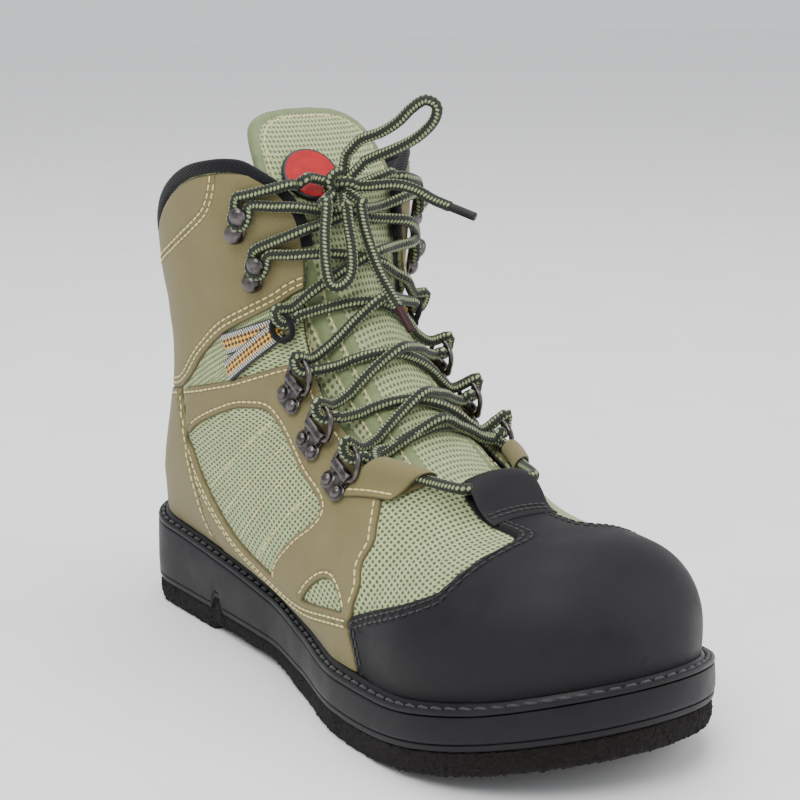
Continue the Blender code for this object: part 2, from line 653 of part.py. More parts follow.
def make_insole():
    inset = WELT_WIDTH + WELT_SEAT + INSOLE_CLEARANCE
    heel = HEEL_WELT_WIDTH + WELT_SEAT + INSOLE_CLEARANCE
    return sole_body("insole", outline_stations(14, 0.0, 1.0), [
        (inset, heel, lambda x: rubber_top(x) + 2 * GAP),
        (inset, heel, lambda x: rubber_top(x) + GAP + INSOLE_THICKNESS - 0.001),
        (inset + 0.0012, heel + 0.0012, lambda x: rubber_top(x) + GAP + INSOLE_THICKNESS),
    ], FOAM)


# Upper and its overlays

def make_upper():
    return shell("upper", -WALL, 0.0, MESH, trimmed=False)


def make_toe_cap():
    cap = shell("toe_cap", GAP, GAP + CAP_THICKNESS, RUBBER_CAP)
    outline = floor_edge(CAP_EDGE[0][0] - 0.004, 1.04) + [(1.1, 0.60)]
    outline += [p for p in curve_line(CAP_EDGE) if p[1] > outline[0][1] + 0.010][::-1]
    return boolean(cap, side_prism("cap_cutter", outline), "INTERSECT")


def floor_edge(start, end, count=14):
    """Panel's lower edge, just above the welt, from one distance to another."""
    out = []
    for x in np.linspace(start, end, count):
        out.append((x, (float(feather_height(x * SOLE_LENGTH)) + 0.0012) / COLLAR_HEIGHT))
    return out


def panel(name, outline, side, mat, low=GAP, thickness=PANEL_THICKNESS, windows=()):
    """Overlay cut from a wall around the last by an outline in the side view. Side 0 takes both sides."""
    wall = shell(name, low, low + thickness, mat)
    low_y = -0.12 if side <= 0 else 0.001
    high_y = 0.12 if side >= 0 else -0.001
    wall = boolean(wall, side_prism(name + "_cutter", outline, low_y, high_y), "INTERSECT")
    for number, window in enumerate(windows):
        cutter = side_prism(name + "_window_" + str(number), window, low_y, high_y)
        wall = boolean(wall, cutter, "DIFFERENCE")
    return wall


def make_quarter(side, word):
    cap = beside(curve_line(CAP_EDGE)[3:10], PANEL_SEAM)
    counter = shifted(COUNTER_EDGE[1:], PANEL_SEAM, 0)
    outline = floor_edge(COUNTER_EDGE[1][0] + 0.004, cap[1][0] - 0.002)
    outline += cap[2:] + list(STRAP_FRONT) + list(QUARTER_TOP)[::-1] + counter[::-1]
    return panel("quarter_" + word, outline, side, LEATHER, windows=(MAIN_WINDOW, SMALL_WINDOW))


def make_counter():
    outline = floor_edge(-0.05, COUNTER_EDGE[1][0] - 0.002, 8)
    outline += [p for p in COUNTER_EDGE[1:]] + [(0.168, 0.512), (0.120, 0.492)]
    outline += shifted([(0.060, 0.480), (-0.05, 0.478)], 0, -PANEL_SEAM)
    return panel("heel_counter", outline, 0, LEATHER)


def make_cuff():
    outline = list(CUFF_EDGE) + [(0.50, 1.2), (-0.05, 1.2)]
    return panel("cuff", outline, 0, LEATHER)


def strip(name, frames, section, mat):
    """Sweep a closed section, given across and out of the surface, along frames (point, across, out)."""
    bm = bmesh.new()
    rings = []
    for point, across, out in frames:
        rings.append([bm.verts.new(point + across * a + out * b) for a, b in section])
    ring_faces(bm, rings)
    bm.faces.new(rings[0])
    bm.faces.new(rings[-1])
    tidy(bm)
    return place(name, bm, mat)


def surface_normal(row, turn, side):
    """Outward normal of the last, from small steps along and across it."""
    along = Vector(last_point(row, turn, side)) - Vector(last_point(row - 0.02, turn, side))
    across = Vector(last_point(row, turn, side)) - Vector(last_point(row, turn - 0.01, side))
    return along.cross(across).normalized() * side


def edge_route():
    """Rows and turns of the upper's own edge from the outer side's throat over the heel to the inner one."""
    collar = len(LAST) - 1.0
    rows = [r for r in station_rows() if r >= BINDING_FROM] + [collar - COLLAR_MARGIN]
    route = []
    for side in (-1, 1):
        leg = [(row, float(throat_turn(row, side)), side) for row in rows]
        end = float(throat_turn(collar, side))
        turns = [end] + list(np.linspace(1, end - THROAT_MARGIN, 5)[::-1]) + list(np.linspace(0, 1, 4)[:-1][::-1])
        leg += [(collar, float(turn), side) for turn in turns]
        route += leg if side < 0 else leg[:-1][::-1]
    return route


def edge_frames():
    """Frames along that edge: point, direction away from the wall, outward normal."""
    route = edge_route()
    points = [Vector(last_point(*stop)) for stop in route]
    frames = []
    for i, (row, turn, side) in enumerate(route):
        ahead = (points[min(i + 1, len(points) - 1)] - points[max(i - 1, 0)]).normalized()
        out = surface_normal(row, max(turn, 0.02), side)
        if turn < 0.02:
            out.y = 0.0
        out = (out - ahead * out.dot(ahead)).normalized()
        frames.append((points[i], ahead.cross(out), out))
    return frames


def make_binding():
    """Padded roll that caps the collar and the upper part of the throat's edge."""
    half = BINDING_THICKNESS / 2
    section = []
    for angle in np.linspace(0, 2 * math.pi, 7)[:-1]:
        section.append((BINDING_GAP + BINDING_WIDTH / 2 + math.cos(angle) * BINDING_WIDTH / 2,
                        BINDING_LIFT + math.sin(angle) * half))
    return strip("collar_binding", edge_frames(), section, BINDING)


def make_pull_loop():
    """Webbing loop at the back of the collar."""
    top = Vector(last_point(len(LAST) - 1.0, 0.0, 1))
    outline = []
    for along, up in PULL_LOOP_PATH:
        outline.append(Vector((top.x + along, 0, top.z + up)))
    curve = rounded(outline, False, 3)
    bm = bmesh.new()
    rings = []
    for i, point in enumerate(curve):
        ahead = curve[min(i + 1, len(curve) - 1)] - curve[max(i - 1, 0)]
        out = Vector((ahead.z, 0, -ahead.x)).normalized()
        half = PULL_LOOP_WIDTH / 2
        thick = PULL_LOOP_THICKNESS / 2
        ring = [point + Vector((0, y, 0)) + out * o
                for y, o in ((-half, -thick), (half, -thick), (half, thick), (-half, thick))]
        rings.append([bm.verts.new(p) for p in ring])
    ring_faces(bm, rings)
    bm.faces.new(rings[0])
    bm.faces.new(rings[-1])
    tidy(bm)
    return place("pull_loop", bm, BINDING)


def tongue_stations():
    """For each row across the tongue: row of the last above it, shift off the last, half width."""
    stations = []
    for row in station_rows():
        if TONGUE_WIDTHS[0][0] <= row <= TONGUE_WIDTHS[-1][0]:
            stations.append((row, Vector((0, 0, 0)), float(curve_through(TONGUE_WIDTHS, 1, row))))
    last_row = stations[-1][0]
    for back, up, half in TONGUE_TOP:
        stations.append((last_row, Vector((-back, 0, up)) * TONGUE_RISE, half))
    return stations


def tongue_row(station, depth, steps=3):
    """Points across the tongue at a depth under the last's surface."""
    row, shift, half = station
    points = []
    for k in range(-steps, steps + 1):
        y = half * k / steps
        side = -1 if y < 0 else 1
        turn = float(turn_at(row, y))
        normal = surface_normal(row, turn, side)
        if k == 0:
            normal = Vector((normal.x, 0, normal.z)).normalized()
        points.append(Vector(last_point(row, turn, side)) + shift - normal * depth)
    return points


def tongue_form():
    """Padded tongue under the throat, leaning back above the collar."""
    bm = bmesh.new()
    rings = []
    for station in tongue_stations():
        outer = tongue_row(station, WALL + TONGUE_CLEARANCE)
        inner = tongue_row(station, WALL + TONGUE_CLEARANCE + TONGUE_THICKNESS)
        rings.append([bm.verts.new(p) for p in outer + inner[::-1]])
    ring_faces(bm, rings)
    bm.faces.new(rings[0])
    bm.faces.new(rings[-1])
    bmesh.ops.triangulate(bm, faces=bm.faces)
    return tidy(bm)


# Hardware on the upper

def form_tree():
    bm = last_sheet()
    tree = BVHTree.FromBMesh(bm)
    bm.free()
    return tree


def seat(along, up, side):
    """Frame on the last's side at a place of the side view: X towards the toe, Y to the throat, Z out."""
    start = Vector((along * SOLE_LENGTH, 0.2 * side, up * COLLAR_HEIGHT))
    point, normal, _, _ = FORM.ray_cast(start, Vector((0, -side, 0)))
    toe = Vector((0.89, 0, -0.45))
    x_axis = (toe - normal * toe.dot(normal)).normalized() * -side
    y_axis = normal.cross(x_axis)
    matrix = Matrix((x_axis, y_axis, normal)).transposed().to_4x4()
    matrix.translation = point
    return matrix


def disc(bm, centre, radius, low, high, segments=7, dome=0.0):
    """Upright round body, domed when asked, in a mount's frame."""
    rings = [(radius, low), (radius, high)]
    if dome:
        rings += [(radius * math.cos(0.9), high + dome * math.sin(0.9))]
    loops = []
    for r, z in rings:
        loops.append([bm.verts.new((centre[0] + r * math.cos(2 * math.pi * i / segments),
                                    centre[1] + r * math.sin(2 * math.pi * i / segments), z))
                      for i in range(segments)])
    ring_faces(bm, loops)
    bm.faces.new(loops[0][::-1])
    bm.faces.new(loops[-1])


def box(bm, low, high):
    corners = [[bm.verts.new((x, y, z)) for x, y in ((low[0], low[1]), (high[0], low[1]),
                                                    (high[0], high[1]), (low[0], high[1]))]
               for z in (low[2], high[2])]
    ring_faces(bm, corners)
    bm.faces.new(corners[0][::-1])
    bm.faces.new(corners[1])


def union_of(name, builders, matrix, mat):
    """One body from several closed shapes made in a mount's frame."""
    pieces = []
    for number, build in enumerate(builders):
        bm = bmesh.new()
        build(bm)
        bmesh.ops.recalc_face_normals(bm, faces=bm.faces)
        bmesh.ops.transform(bm, matrix=matrix, verts=bm.verts)
        pieces.append(place(name if number == 0 else name + "_part_" + str(number), bm, mat))
    for other in pieces[1:]:
        boolean(pieces[0], other, "UNION")
    return pieces[0]


def barrel(bm):
    """Roll that holds the ring, lying along X."""
    loops = []
    for x in (-BARREL_LENGTH / 2, BARREL_LENGTH / 2):
        loops.append([bm.verts.new((x, BARREL_AT + BARREL_RADIUS * math.cos(a),
                                    BARREL_RISE + BARREL_RADIUS * math.sin(a)))
                      for a in np.linspace(0, 2 * math.pi, 7)[:-1]])
    ring_faces(bm, loops)
    bm.faces.new(loops[0])
    bm.faces.new(loops[1])


def make_ring_plate(name, matrix):
    base = HARDWARE_BASE
    seated = base + PLATE_THICKNESS / 3
    spread = RIVET_RADIUS + 0.0008
    return union_of(name, (
        lambda bm: box(bm, (-BARREL_LENGTH / 2 + 0.001, -RIVET_RADIUS - 0.0004, base),
                       (BARREL_LENGTH / 2 - 0.001, BARREL_AT + 0.001, base + PLATE_THICKNESS)),
        lambda bm: disc(bm, (-spread, 0), RIVET_RADIUS, seated, base + 0.0016, dome=0.0014),
        lambda bm: disc(bm, (spread, 0), RIVET_RADIUS, seated, base + 0.0016, dome=0.0014),
        barrel,
    ), matrix, METAL)


def tube(name, points, diameter, mat, sides=8):
    """Closed round tube along points, measured from the back of the sole."""
    bm = bmesh.new()
    rings = []
    previous = None
    for i, point in enumerate(points):
        ahead = (points[min(i + 1, len(points) - 1)] - points[max(i - 1, 0)]).normalized()
        if previous is None:
            previous = Vector((0, 0, 1)) if abs(ahead.z) < 0.8 else Vector((1, 0, 0))
        out = (previous - ahead * previous.dot(ahead)).normalized()
        side = ahead.cross(out)
        previous = out
        rings.append([bm.verts.new(point + (out * math.cos(a) + side * math.sin(a)) * diameter / 2)
                      for a in np.linspace(0, 2 * math.pi, sides + 1)[:-1]])
    ring_faces(bm, rings)
    bm.faces.new(rings[0][::-1])
    bm.faces.new(rings[-1])
    tidy(bm)
    return place(name, bm, mat)


def ring_points(matrix):
    """Route of a ring's wire: beside one end of its barrel, round, and back to the other end."""
    reach = BARREL_LENGTH / 2 + GAP * 2 + RING_WIRE / 2
    points = [(-reach, BARREL_AT - 0.0016, BARREL_RISE), (-reach, BARREL_AT + 0.0014, BARREL_RISE)]
    for a in np.linspace(math.pi, 0, 6):
        points.append((reach * math.cos(a), BARREL_AT + 0.0038 + RING_RADIUS * math.sin(a),
                       BARREL_RISE + RING_LIFT * math.sin(a)))
    points += [(reach, BARREL_AT + 0.0014, BARREL_RISE), (reach, BARREL_AT - 0.0016, BARREL_RISE)]
    return [matrix @ Vector(p) for p in points]


def make_hook(name, matrix):
    base = HARDWARE_BASE
    seated = base + PLATE_THICKNESS / 3
    return union_of(name, (
        lambda bm: box(bm, (-0.0036, -HOOK_RADIUS - 0.0003, base), (0.0036, HOOK_AT + 0.002, base + 0.0012)),
        lambda bm: disc(bm, (0, 0), HOOK_RADIUS, seated, base + 0.0022, dome=0.0018),
        lambda bm: disc(bm, (0, HOOK_AT), 0.0019, seated, HOOK_HEIGHT - 0.001, segments=6),
        lambda bm: disc(bm, (0, HOOK_AT), HOOK_RADIUS * 0.95, HOOK_HEIGHT - 0.0034, HOOK_HEIGHT - 0.0014,
                        dome=0.0014),
    ), matrix, METAL)


def make_hardware():
    for side, word in ((-1, "lateral"), (1, "medial")):
        for number, (kind, along, up) in enumerate(LACING):
            matrix = seat(along, up, side)
            if kind == "ring":
                make_ring_plate("ring_plate_" + word + "_" + str(number + 1), matrix)
                tube("lace_ring_" + word + "_" + str(number + 1), ring_points(matrix), RING_WIRE, METAL, 5)
            else:
                make_hook("hook_" + word + "_" + str(number - 2), matrix)
        outline = [(p[0], p[1]) for p in WEBBING_OUTLINE]
        panel("webbing_" + word, outline, side, WEBBING)
        matrix = seat(*WEBBING_RING_AT, side)
        rise = HARDWARE_BASE + 0.0016
        points = []
        for a in np.linspace(0, 2 * math.pi, 11)[:-1]:
            points.append(matrix @ Vector((WEBBING_RING_RADIUS * math.cos(a),
                                           WEBBING_RING_SHIFT + WEBBING_RING_RADIUS * math.sin(a), rise)))
        loop_of("webbing_ring_" + word, points, WEBBING_RING_WIRE, BINDING)


def loop_of(name, points, diameter, mat, sides=6):
    """Closed ring of round wire through points that close on themselves."""
    centre = sum(points, Vector()) / len(points)
    axis = (points[0] - centre).cross(points[len(points) // 4] - centre).normalized()
    bm = bmesh.new()
    rings = []
    for point in points:
        out = (point - centre).normalized()
        rings.append([bm.verts.new(point + (out * math.cos(a) + axis * math.sin(a)) * diameter / 2)
                      for a in np.linspace(0, 2 * math.pi, sides + 1)[:-1]])
    ring_faces(bm, rings + rings[:1])
    tidy(bm)
    return place(name, bm, mat)


def make_drains():
    for number, (along, up) in enumerate(DRAINS_AT):
        matrix = seat(along, up, 1)
        base = HARDWARE_BASE
        bm = bmesh.new()
        rings = []
        for r, z in ((DRAIN_RADIUS, base), (DRAIN_RADIUS, base + 0.0006), (DRAIN_RADIUS * 0.75, base + 0.001),
                     (DRAIN_RADIUS * 0.55, base + 0.0006), (DRAIN_RADIUS * 0.55, base)):
            rings.append([bm.verts.new((r * math.cos(a), r * math.sin(a), z))
                          for a in np.linspace(0, 2 * math.pi, 11)[:-1]])
        ring_faces(bm, rings + rings[:1])
        tidy(bm)
        bmesh.ops.transform(bm, matrix=matrix, verts=bm.verts)
        place("drain_eyelet_" + str(number + 1), bm, BINDING)


# Lacing

def over(row, y, rise):
    """Point at a height over the last's surface, by row number and half width."""
    side = -1 if y < 0 else 1
    turn = float(turn_at(row, y))
    return Vector(last_point(row, turn, side)) + surface_normal(row, turn, side) * rise


def row_under(point):
    """Row number of the section that passes closest under a point."""
    rows = np.linspace(FIRST_BODY_ROW, len(LAST) - 1.0, 201)
    return min(rows, key=lambda row: (over(row, point.y, 0.0) - point).length)


def lace_rise(row, y):
    """Height of the lace's middle over the last: low on the tongue, higher over edge and panels."""
    edge = float(last_column("throat", row)) * BALL_WIDTH
    if row > BINDING_FROM - 1:
        edge -= BINDING_GAP + BINDING_WIDTH
    share = float(smooth(abs(y), edge - LACE_CLIMB, edge - 0.001))
    return LACE_OVER_TONGUE + (LACE_OVER_PANELS - LACE_OVER_TONGUE) * share


def tube_between(rings):
    """Closed body between an outer and an inner wall, each given as two matching rings of points."""
    bm = bmesh.new()
    loops = [[bm.verts.new(p) for p in ring] for ring in rings]
    ring_faces(bm, loops + loops[:1])
    return tidy(bm)


def make_strap_loops():
    """Rolled ends of the vamp straps that the first stretch of lace runs through."""
    for side, word in ((-1, "lateral"), (1, "medial")):
        start, end = [over(row, y * side, STRAP_LOOP_RISE) for row, y in STRAP_LOOP_ENDS]
        ahead = (end - start).normalized()
        out = Vector((0, 0, 1)) - ahead * ahead.z
        out.normalize()
        across = ahead.cross(out)
        rings = []
        for radius, point in ((STRAP_LOOP_RADIUS, start), (STRAP_LOOP_RADIUS, end),
                              (STRAP_LOOP_BORE, end), (STRAP_LOOP_BORE, start)):
            rings.append([point + (out * math.cos(a) + across * math.sin(a)) * radius
                          for a in np.linspace(0, 2 * math.pi, 11)[:-1]])
        place("strap_loop_" + word, tube_between(rings), LEATHER)


def tab_frame():
    """Middle of the toe tab's opening, direction to the toe, and out of the surface."""
    foot = over(TAB_ROW, 0.0, 0.0)
    toe = (over(TAB_ROW - 0.2, 0.0, 0.0) - foot).normalized()
    toe.y = 0.0
    out = Vector((-toe.z, 0, toe.x)).normalized()
    return foot + out * (TAB_HEIGHT / 2 + GAP + CAP_THICKNESS), toe, out


def make_toe_tab():
    """Folded tab above the toe cap."""
    centre, toe, out = tab_frame()
    rings = []
    for y, shrink in ((-TAB_WIDTH / 2, 0), (TAB_WIDTH / 2, 0), (TAB_WIDTH / 2, TAB_WALL),
                      (-TAB_WIDTH / 2, TAB_WALL)):
        ring = []
        for a in np.linspace(0, 2 * math.pi, 13)[:-1]:
            reach = TAB_LENGTH / 2 - shrink
            rise = TAB_HEIGHT / 2 - shrink
            ring.append(centre + toe * reach * math.copysign(abs(math.cos(a)) ** 0.6, math.cos(a))
                        + out * rise * math.copysign(abs(math.sin(a)) ** 0.6, math.sin(a)) + Vector((0, y, 0)))
        rings.append(ring)
    place("toe_tab", tube_between(rings), RUBBER_CAP)


def pad_on(name, tree, middle, towards, reach, base, thickness, mat):
    """Round or oval pad, thinner at its rim, that follows the surface met from a direction."""
    hit, normal, _, _ = tree.ray_cast(middle - towards * 0.05, towards)
    across = normal.cross(Vector((0, 0, 1))).normalized()
    up = across.cross(normal)
    bm = bmesh.new()
    rings = []
    for share, rise in ((0.0, 0.0), (0.5, 0.0), (1.0, 0.0), (1.0, 0.7), (0.9, 1.0), (0.5, 1.0), (0.0, 1.0)):
        ring = []
        for a in np.linspace(0, 2 * math.pi, 13)[:-1]:
            flat = hit + (across * math.cos(a) * reach[0] + up * math.sin(a) * reach[1]) * share
            foot, _, _, _ = tree.ray_cast(flat + normal * 0.02, -normal)
            ring.append(bm.verts.new(foot + normal * (base + 0.0004 * share + thickness * rise)))
        rings.append(ring)
    ring_faces(bm, rings)
    return place(name, tidy(bm), mat)


def make_badge():
    """Plain round badge that follows the tongue's face."""
    bm = tongue_form()
    tree = BVHTree.FromBMesh(bm)
    bm.free()
    pad_on("tongue_badge", tree, Vector(BADGE_AT), Vector((-1, 0, 0)), (BADGE_RADIUS, BADGE_RADIUS),
           GAP, BADGE_THICKNESS, BADGE)


def make_heel_patch():
    """Black patch over the back seam, in the layer above cuff and counter."""
    pad_on("heel_patch", FORM, Vector((0, 0, PATCH_AT)), Vector((1, 0, 0)),
           (PATCH_HALF_WIDTH, PATCH_HALF_HEIGHT), GAP + PANEL_THICKNESS + PATCH_CLEARANCE, PATCH_THICKNESS, BINDING)


def lace_end(level, side, upward):
    """Where a crossing starts (upward) or ends (not upward) at a lacing level. Level 0 is the strap loop."""
    if level == 0:
        row, y = STRAP_LOOP_ENDS[0]
        return row + 0.22, y * side * 0.94
    shift = -(LACE_DIAMETER / 2 + LACE_CLEARANCE + GAP) * (1 if upward else -1) * -side
    if level == WEBBING_LEVEL:
        matrix = seat(*WEBBING_RING_AT, side)
        reach = WEBBING_RING_SHIFT + WEBBING_RING_RADIUS + WEBBING_RING_WIRE
    else:
        kind, along, up = LACING[level - 1 if level < WEBBING_LEVEL else level - 2]
        matrix = seat(along, up, side)
        if kind == "ring":
            reach = BARREL_AT + 0.0038 + RING_RADIUS + RING_WIRE + 0.0008
        else:
            reach = HOOK_AT + HOOK_RADIUS + 0.0014
    point = matrix @ Vector((shift, reach, 0.0))
    return float(row_under(point)), point.y


def lace_path(start, end):
    """Points of a stretch of lace between two places of the last's surface."""
    points = []
    for t in LACE_STOPS:
        row = start[0] + (end[0] - start[0]) * t
        y = start[1] + (end[1] - start[1]) * t
        points.append(over(row, y, lace_rise(row, y)))
    return points


def make_lacing():
    """First bar through the toe tab, then the crossings from the strap loops up to the top hooks."""
    centre, toe, _ = tab_frame()
    half = []
    for row, y in STRAP_LOOP_ENDS:
        half.append(over(row, -y, STRAP_LOOP_RISE))
    ahead = (half[1] - half[0]).normalized()
    half = [half[0], half[1], half[1] + ahead * 0.005, centre + Vector((0, -TAB_WIDTH / 2 - 0.004, 0)),
            centre + Vector((0, -TAB_WIDTH / 2, 0))]
    other = [over(row, y, STRAP_LOOP_RISE) for row, y in STRAP_LOOP_ENDS]
    ahead = (other[1] - other[0]).normalized()
    other = [other[0], other[1], other[1] + ahead * 0.005, centre + Vector((0, TAB_WIDTH / 2 + 0.004, 0)),
             centre + Vector((0, TAB_WIDTH / 2, 0))]
    tube("lace_toe_bar", rounded(half + other[::-1], False, 2), LACE_DIAMETER, LACE, 6)
    for level in range(WEBBING_LEVEL + 2):
        name = "lace_cross_" + str(level + 1)
        legs = []
        for side in (-1, 1):
            path = lace_path(lace_end(level, side, True), lace_end(level + 1, -side, False))
            legs.append(tube(name if side < 0 else name + "_leg", path, LACE_DIAMETER, LACE, 5))
        boolean(legs[0], legs[1], "UNION")


def knot_exit(direction):
    """The first two points of a lace that leaves the knot straight, in a direction."""
    way = Vector(direction).normalized()
    half = [size / 2 for size in KNOT_SIZE]
    reach = 1 / math.sqrt(sum((way[i] / half[i]) ** 2 for i in range(3)))
    start = Vector(KNOT_AT) + way * (reach + GAP)
    return [start, start + way * KNOT_LEAD]


def make_bow():
    """Knot, two loops and two ends with their tips."""
    knot = bmesh.new()
    bmesh.ops.create_uvsphere(knot, u_segments=12, v_segments=8, radius=0.5)
    bmesh.ops.scale(knot, vec=KNOT_SIZE, verts=knot.verts)
    bmesh.ops.translate(knot, vec=KNOT_AT, verts=knot.verts)
    place("lace_knot", knot, LACE)
    for side, word, way in ((-1, "lateral", TOP_BAR_EXITS[0]), (1, "medial", TOP_BAR_EXITS[1])):
        row, y = lace_end(WEBBING_LEVEL + 2, side, True)
        path = lace_path((row, y), (TOP_BAR_END[0], TOP_BAR_END[1] * side))[:-1]
        path += [over(TOP_BAR_END[0], TOP_BAR_END[1] * side, TOP_BAR_END[2])]
        tube("lace_top_bar_" + word, path + knot_exit(way)[::-1], LACE_DIAMETER, LACE, 5)
    hanging_loop = [over(*stop) for stop in LOOP_DOWN]
    hanging_end = [over(*stop) for stop in END_DOWN]
    for name, middle, ways in (("lace_loop_up", LOOP_UP, LOOP_UP_EXITS),
                               ("lace_loop_down", hanging_loop, LOOP_DOWN_EXITS),
                               ("lace_end_right", END_RIGHT, END_RIGHT_EXITS),
                               ("lace_end_down", hanging_end, END_DOWN_EXITS)):
        route = knot_exit(ways[0]) + [Vector(p) for p in middle]
        if len(ways) > 1:
            route += knot_exit(ways[1])[::-1]
        cord(name, route, LACE_DIAMETER, LACE)
    for name, route in (("aglet_right", END_RIGHT), ("aglet_down", hanging_end)):
        last = Vector(route[-1])
        ahead = (last - Vector(route[-2])).normalized()
        tube(name, [last + ahead * GAP, last + ahead * (GAP + AGLET_LENGTH)], AGLET_DIAMETER, METAL, 8)


def cord(name, points, diameter, mat):
    """Round flexible cord along points, measured from the back of the sole."""
    curve = bpy.data.curves.new(name, "CURVE")
    curve.dimensions = "3D"
    curve.bevel_depth = diameter / 2
    curve.bevel_resolution = 1
    curve.use_fill_caps = True
    spline = curve.splines.new("POLY")
    spline.points.add(len(points) - 1)
    for stop, point in zip(spline.points, points):
        stop.co = (point.x - HEEL_REST, point.y, point.z, 1.0)
    curve.materials.append(mat)
    obj = bpy.data.objects.new(name, curve)
    bpy.context.collection.objects.link(obj)
    return obj


make_sole()
make_welt()
make_insole()
make_upper()
make_toe_cap()
make_quarter(-1, "lateral")
make_quarter(1, "medial")
make_counter()
make_cuff()
make_binding()
make_pull_loop()
place("tongue", tongue_form(), MESH)
FORM = form_tree()
make_heel_patch()
make_hardware()
make_drains()
make_badge()
make_strap_loops()
make_toe_tab()
make_lacing()
make_bow()
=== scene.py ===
# Wading boot for the right foot: the looks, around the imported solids.
# Metres, toe towards +X, outer side towards -Y, the floor at 0, the origin under the heel.
import math

import bmesh
import bpy
import numpy as np
from mathutils import Matrix, Vector
from mathutils.bvhtree import BVHTree


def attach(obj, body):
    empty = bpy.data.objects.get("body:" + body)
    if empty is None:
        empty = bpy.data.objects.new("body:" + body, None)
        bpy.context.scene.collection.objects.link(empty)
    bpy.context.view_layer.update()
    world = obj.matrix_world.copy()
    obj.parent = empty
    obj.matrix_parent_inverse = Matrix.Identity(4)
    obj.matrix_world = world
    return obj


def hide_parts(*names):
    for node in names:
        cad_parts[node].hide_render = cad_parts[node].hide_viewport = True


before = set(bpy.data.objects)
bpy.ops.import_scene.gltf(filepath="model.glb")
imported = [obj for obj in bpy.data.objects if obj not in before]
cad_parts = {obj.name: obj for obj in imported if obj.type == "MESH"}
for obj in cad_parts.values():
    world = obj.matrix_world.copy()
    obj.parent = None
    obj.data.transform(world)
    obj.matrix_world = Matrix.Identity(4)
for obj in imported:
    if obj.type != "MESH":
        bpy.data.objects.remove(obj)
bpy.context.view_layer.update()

# sizes shared by the whole boot; places along are measured from the back of the sole
mm = 0.001
boot = {
    "soleLength": 0.3185,
    "ballWidth": 0.129,
    "collarHeight": 0.203,
    "featherHeight": 0.0425,
    "weltWidth": 0.0065,
    "heelWeltWidth": 0.0026,
    "weltThickness": 0.0042,
    "wall": 0.0018,
    "heelRest": 0.045,          # from the back of the sole to the origin
    "laceDiameter": 0.0045,
}
length = boot["soleLength"]
height = boot["collarHeight"]
ball = boot["ballWidth"]

lastColumns = ("lowAlong", "lowUp", "topAlong", "topUp", "lateral", "medial",
               "widest", "backRound", "frontRound", "bow", "throat")
lastRows = (
    (0.9990, None, 0.9990, 0.416, None, None, 0.24, 2.0, 2.2, 0.000, 0.210),    # toe tip
    (0.9000, None, 0.9000, 0.416, None, None, 0.22, 2.0, 2.2, 0.000, 0.210),    # toe box
    (0.7870, None, 0.7870, 0.416, None, None, 0.20, 2.0, 2.1, 0.000, 0.210),    # cap
    (0.6740, None, 0.6900, 0.463, 0.434, 0.411, 0.20, 2.0, 1.9, 0.000, 0.210),  # vamp
    (0.5120, None, 0.5930, 0.547, 0.411, 0.368, 0.20, 2.0, 1.9, 0.000, 0.235),  # instep
    (0.3340, None, 0.5220, 0.640, 0.388, 0.357, 0.24, 2.0, 1.9, 0.000, 0.235),  # waist
    (0.1560, None, 0.4830, 0.714, 0.364, 0.349, 0.30, 2.0, 1.9, 0.000, 0.215),  # heel
    (0.0500, None, 0.4570, 0.764, 0.345, 0.333, 0.38, 2.1, 1.9, 0.010, 0.200),  # seat
    (0.0000, None, 0.4440, 0.798, 0.337, 0.333, 0.42, 2.2, 2.0, 0.015, 0.190),  # heel corner
    (0.0180, 0.355, 0.4310, 0.838, 0.335, 0.328, 0.47, 2.2, 2.1, 0.025, 0.184), # counter
    (0.0430, 0.493, 0.4180, 0.877, 0.347, 0.338, 0.50, 2.2, 2.2, 0.039, 0.186), # achilles
    (0.0500, 0.631, 0.4020, 0.921, 0.372, 0.357, 0.52, 2.2, 2.4, 0.049, 0.200), # ankle
    (0.0430, 0.719, 0.3860, 0.961, 0.392, 0.372, 0.55, 2.2, 2.5, 0.059, 0.235), # cuff
    (0.0460, 0.788, 0.3700, 1.000, 0.402, 0.385, 0.57, 2.2, 2.6, 0.064, 0.320), # collar
)
collarRow = len(lastRows) - 1.0
cornerRow = 8
bowShape = ((0.0, 0.0), (0.15, -0.10), (0.30, 0.35), (0.45, 0.85), (0.60, 1.0), (0.80, 0.75), (1.0, 0.0))
soleOutline = ((0.00, 0.330, 0.330), (0.12, 0.345, 0.340), (0.26, 0.345, 0.330), (0.40, 0.350, 0.310),
               (0.52, 0.405, 0.335), (0.66, 0.490, 0.425), (0.76, 0.500, 0.490), (0.86, 0.475, 0.500),
               (0.94, 0.430, 0.480), (1.00, 0.390, 0.450))
featherLine = ((0.0, 1.0), (0.12, 0.965), (0.30, 0.85), (0.45, 0.73), (0.62, 0.66), (0.75, 0.682),
               (0.88, 0.835), (1.0, 1.106))

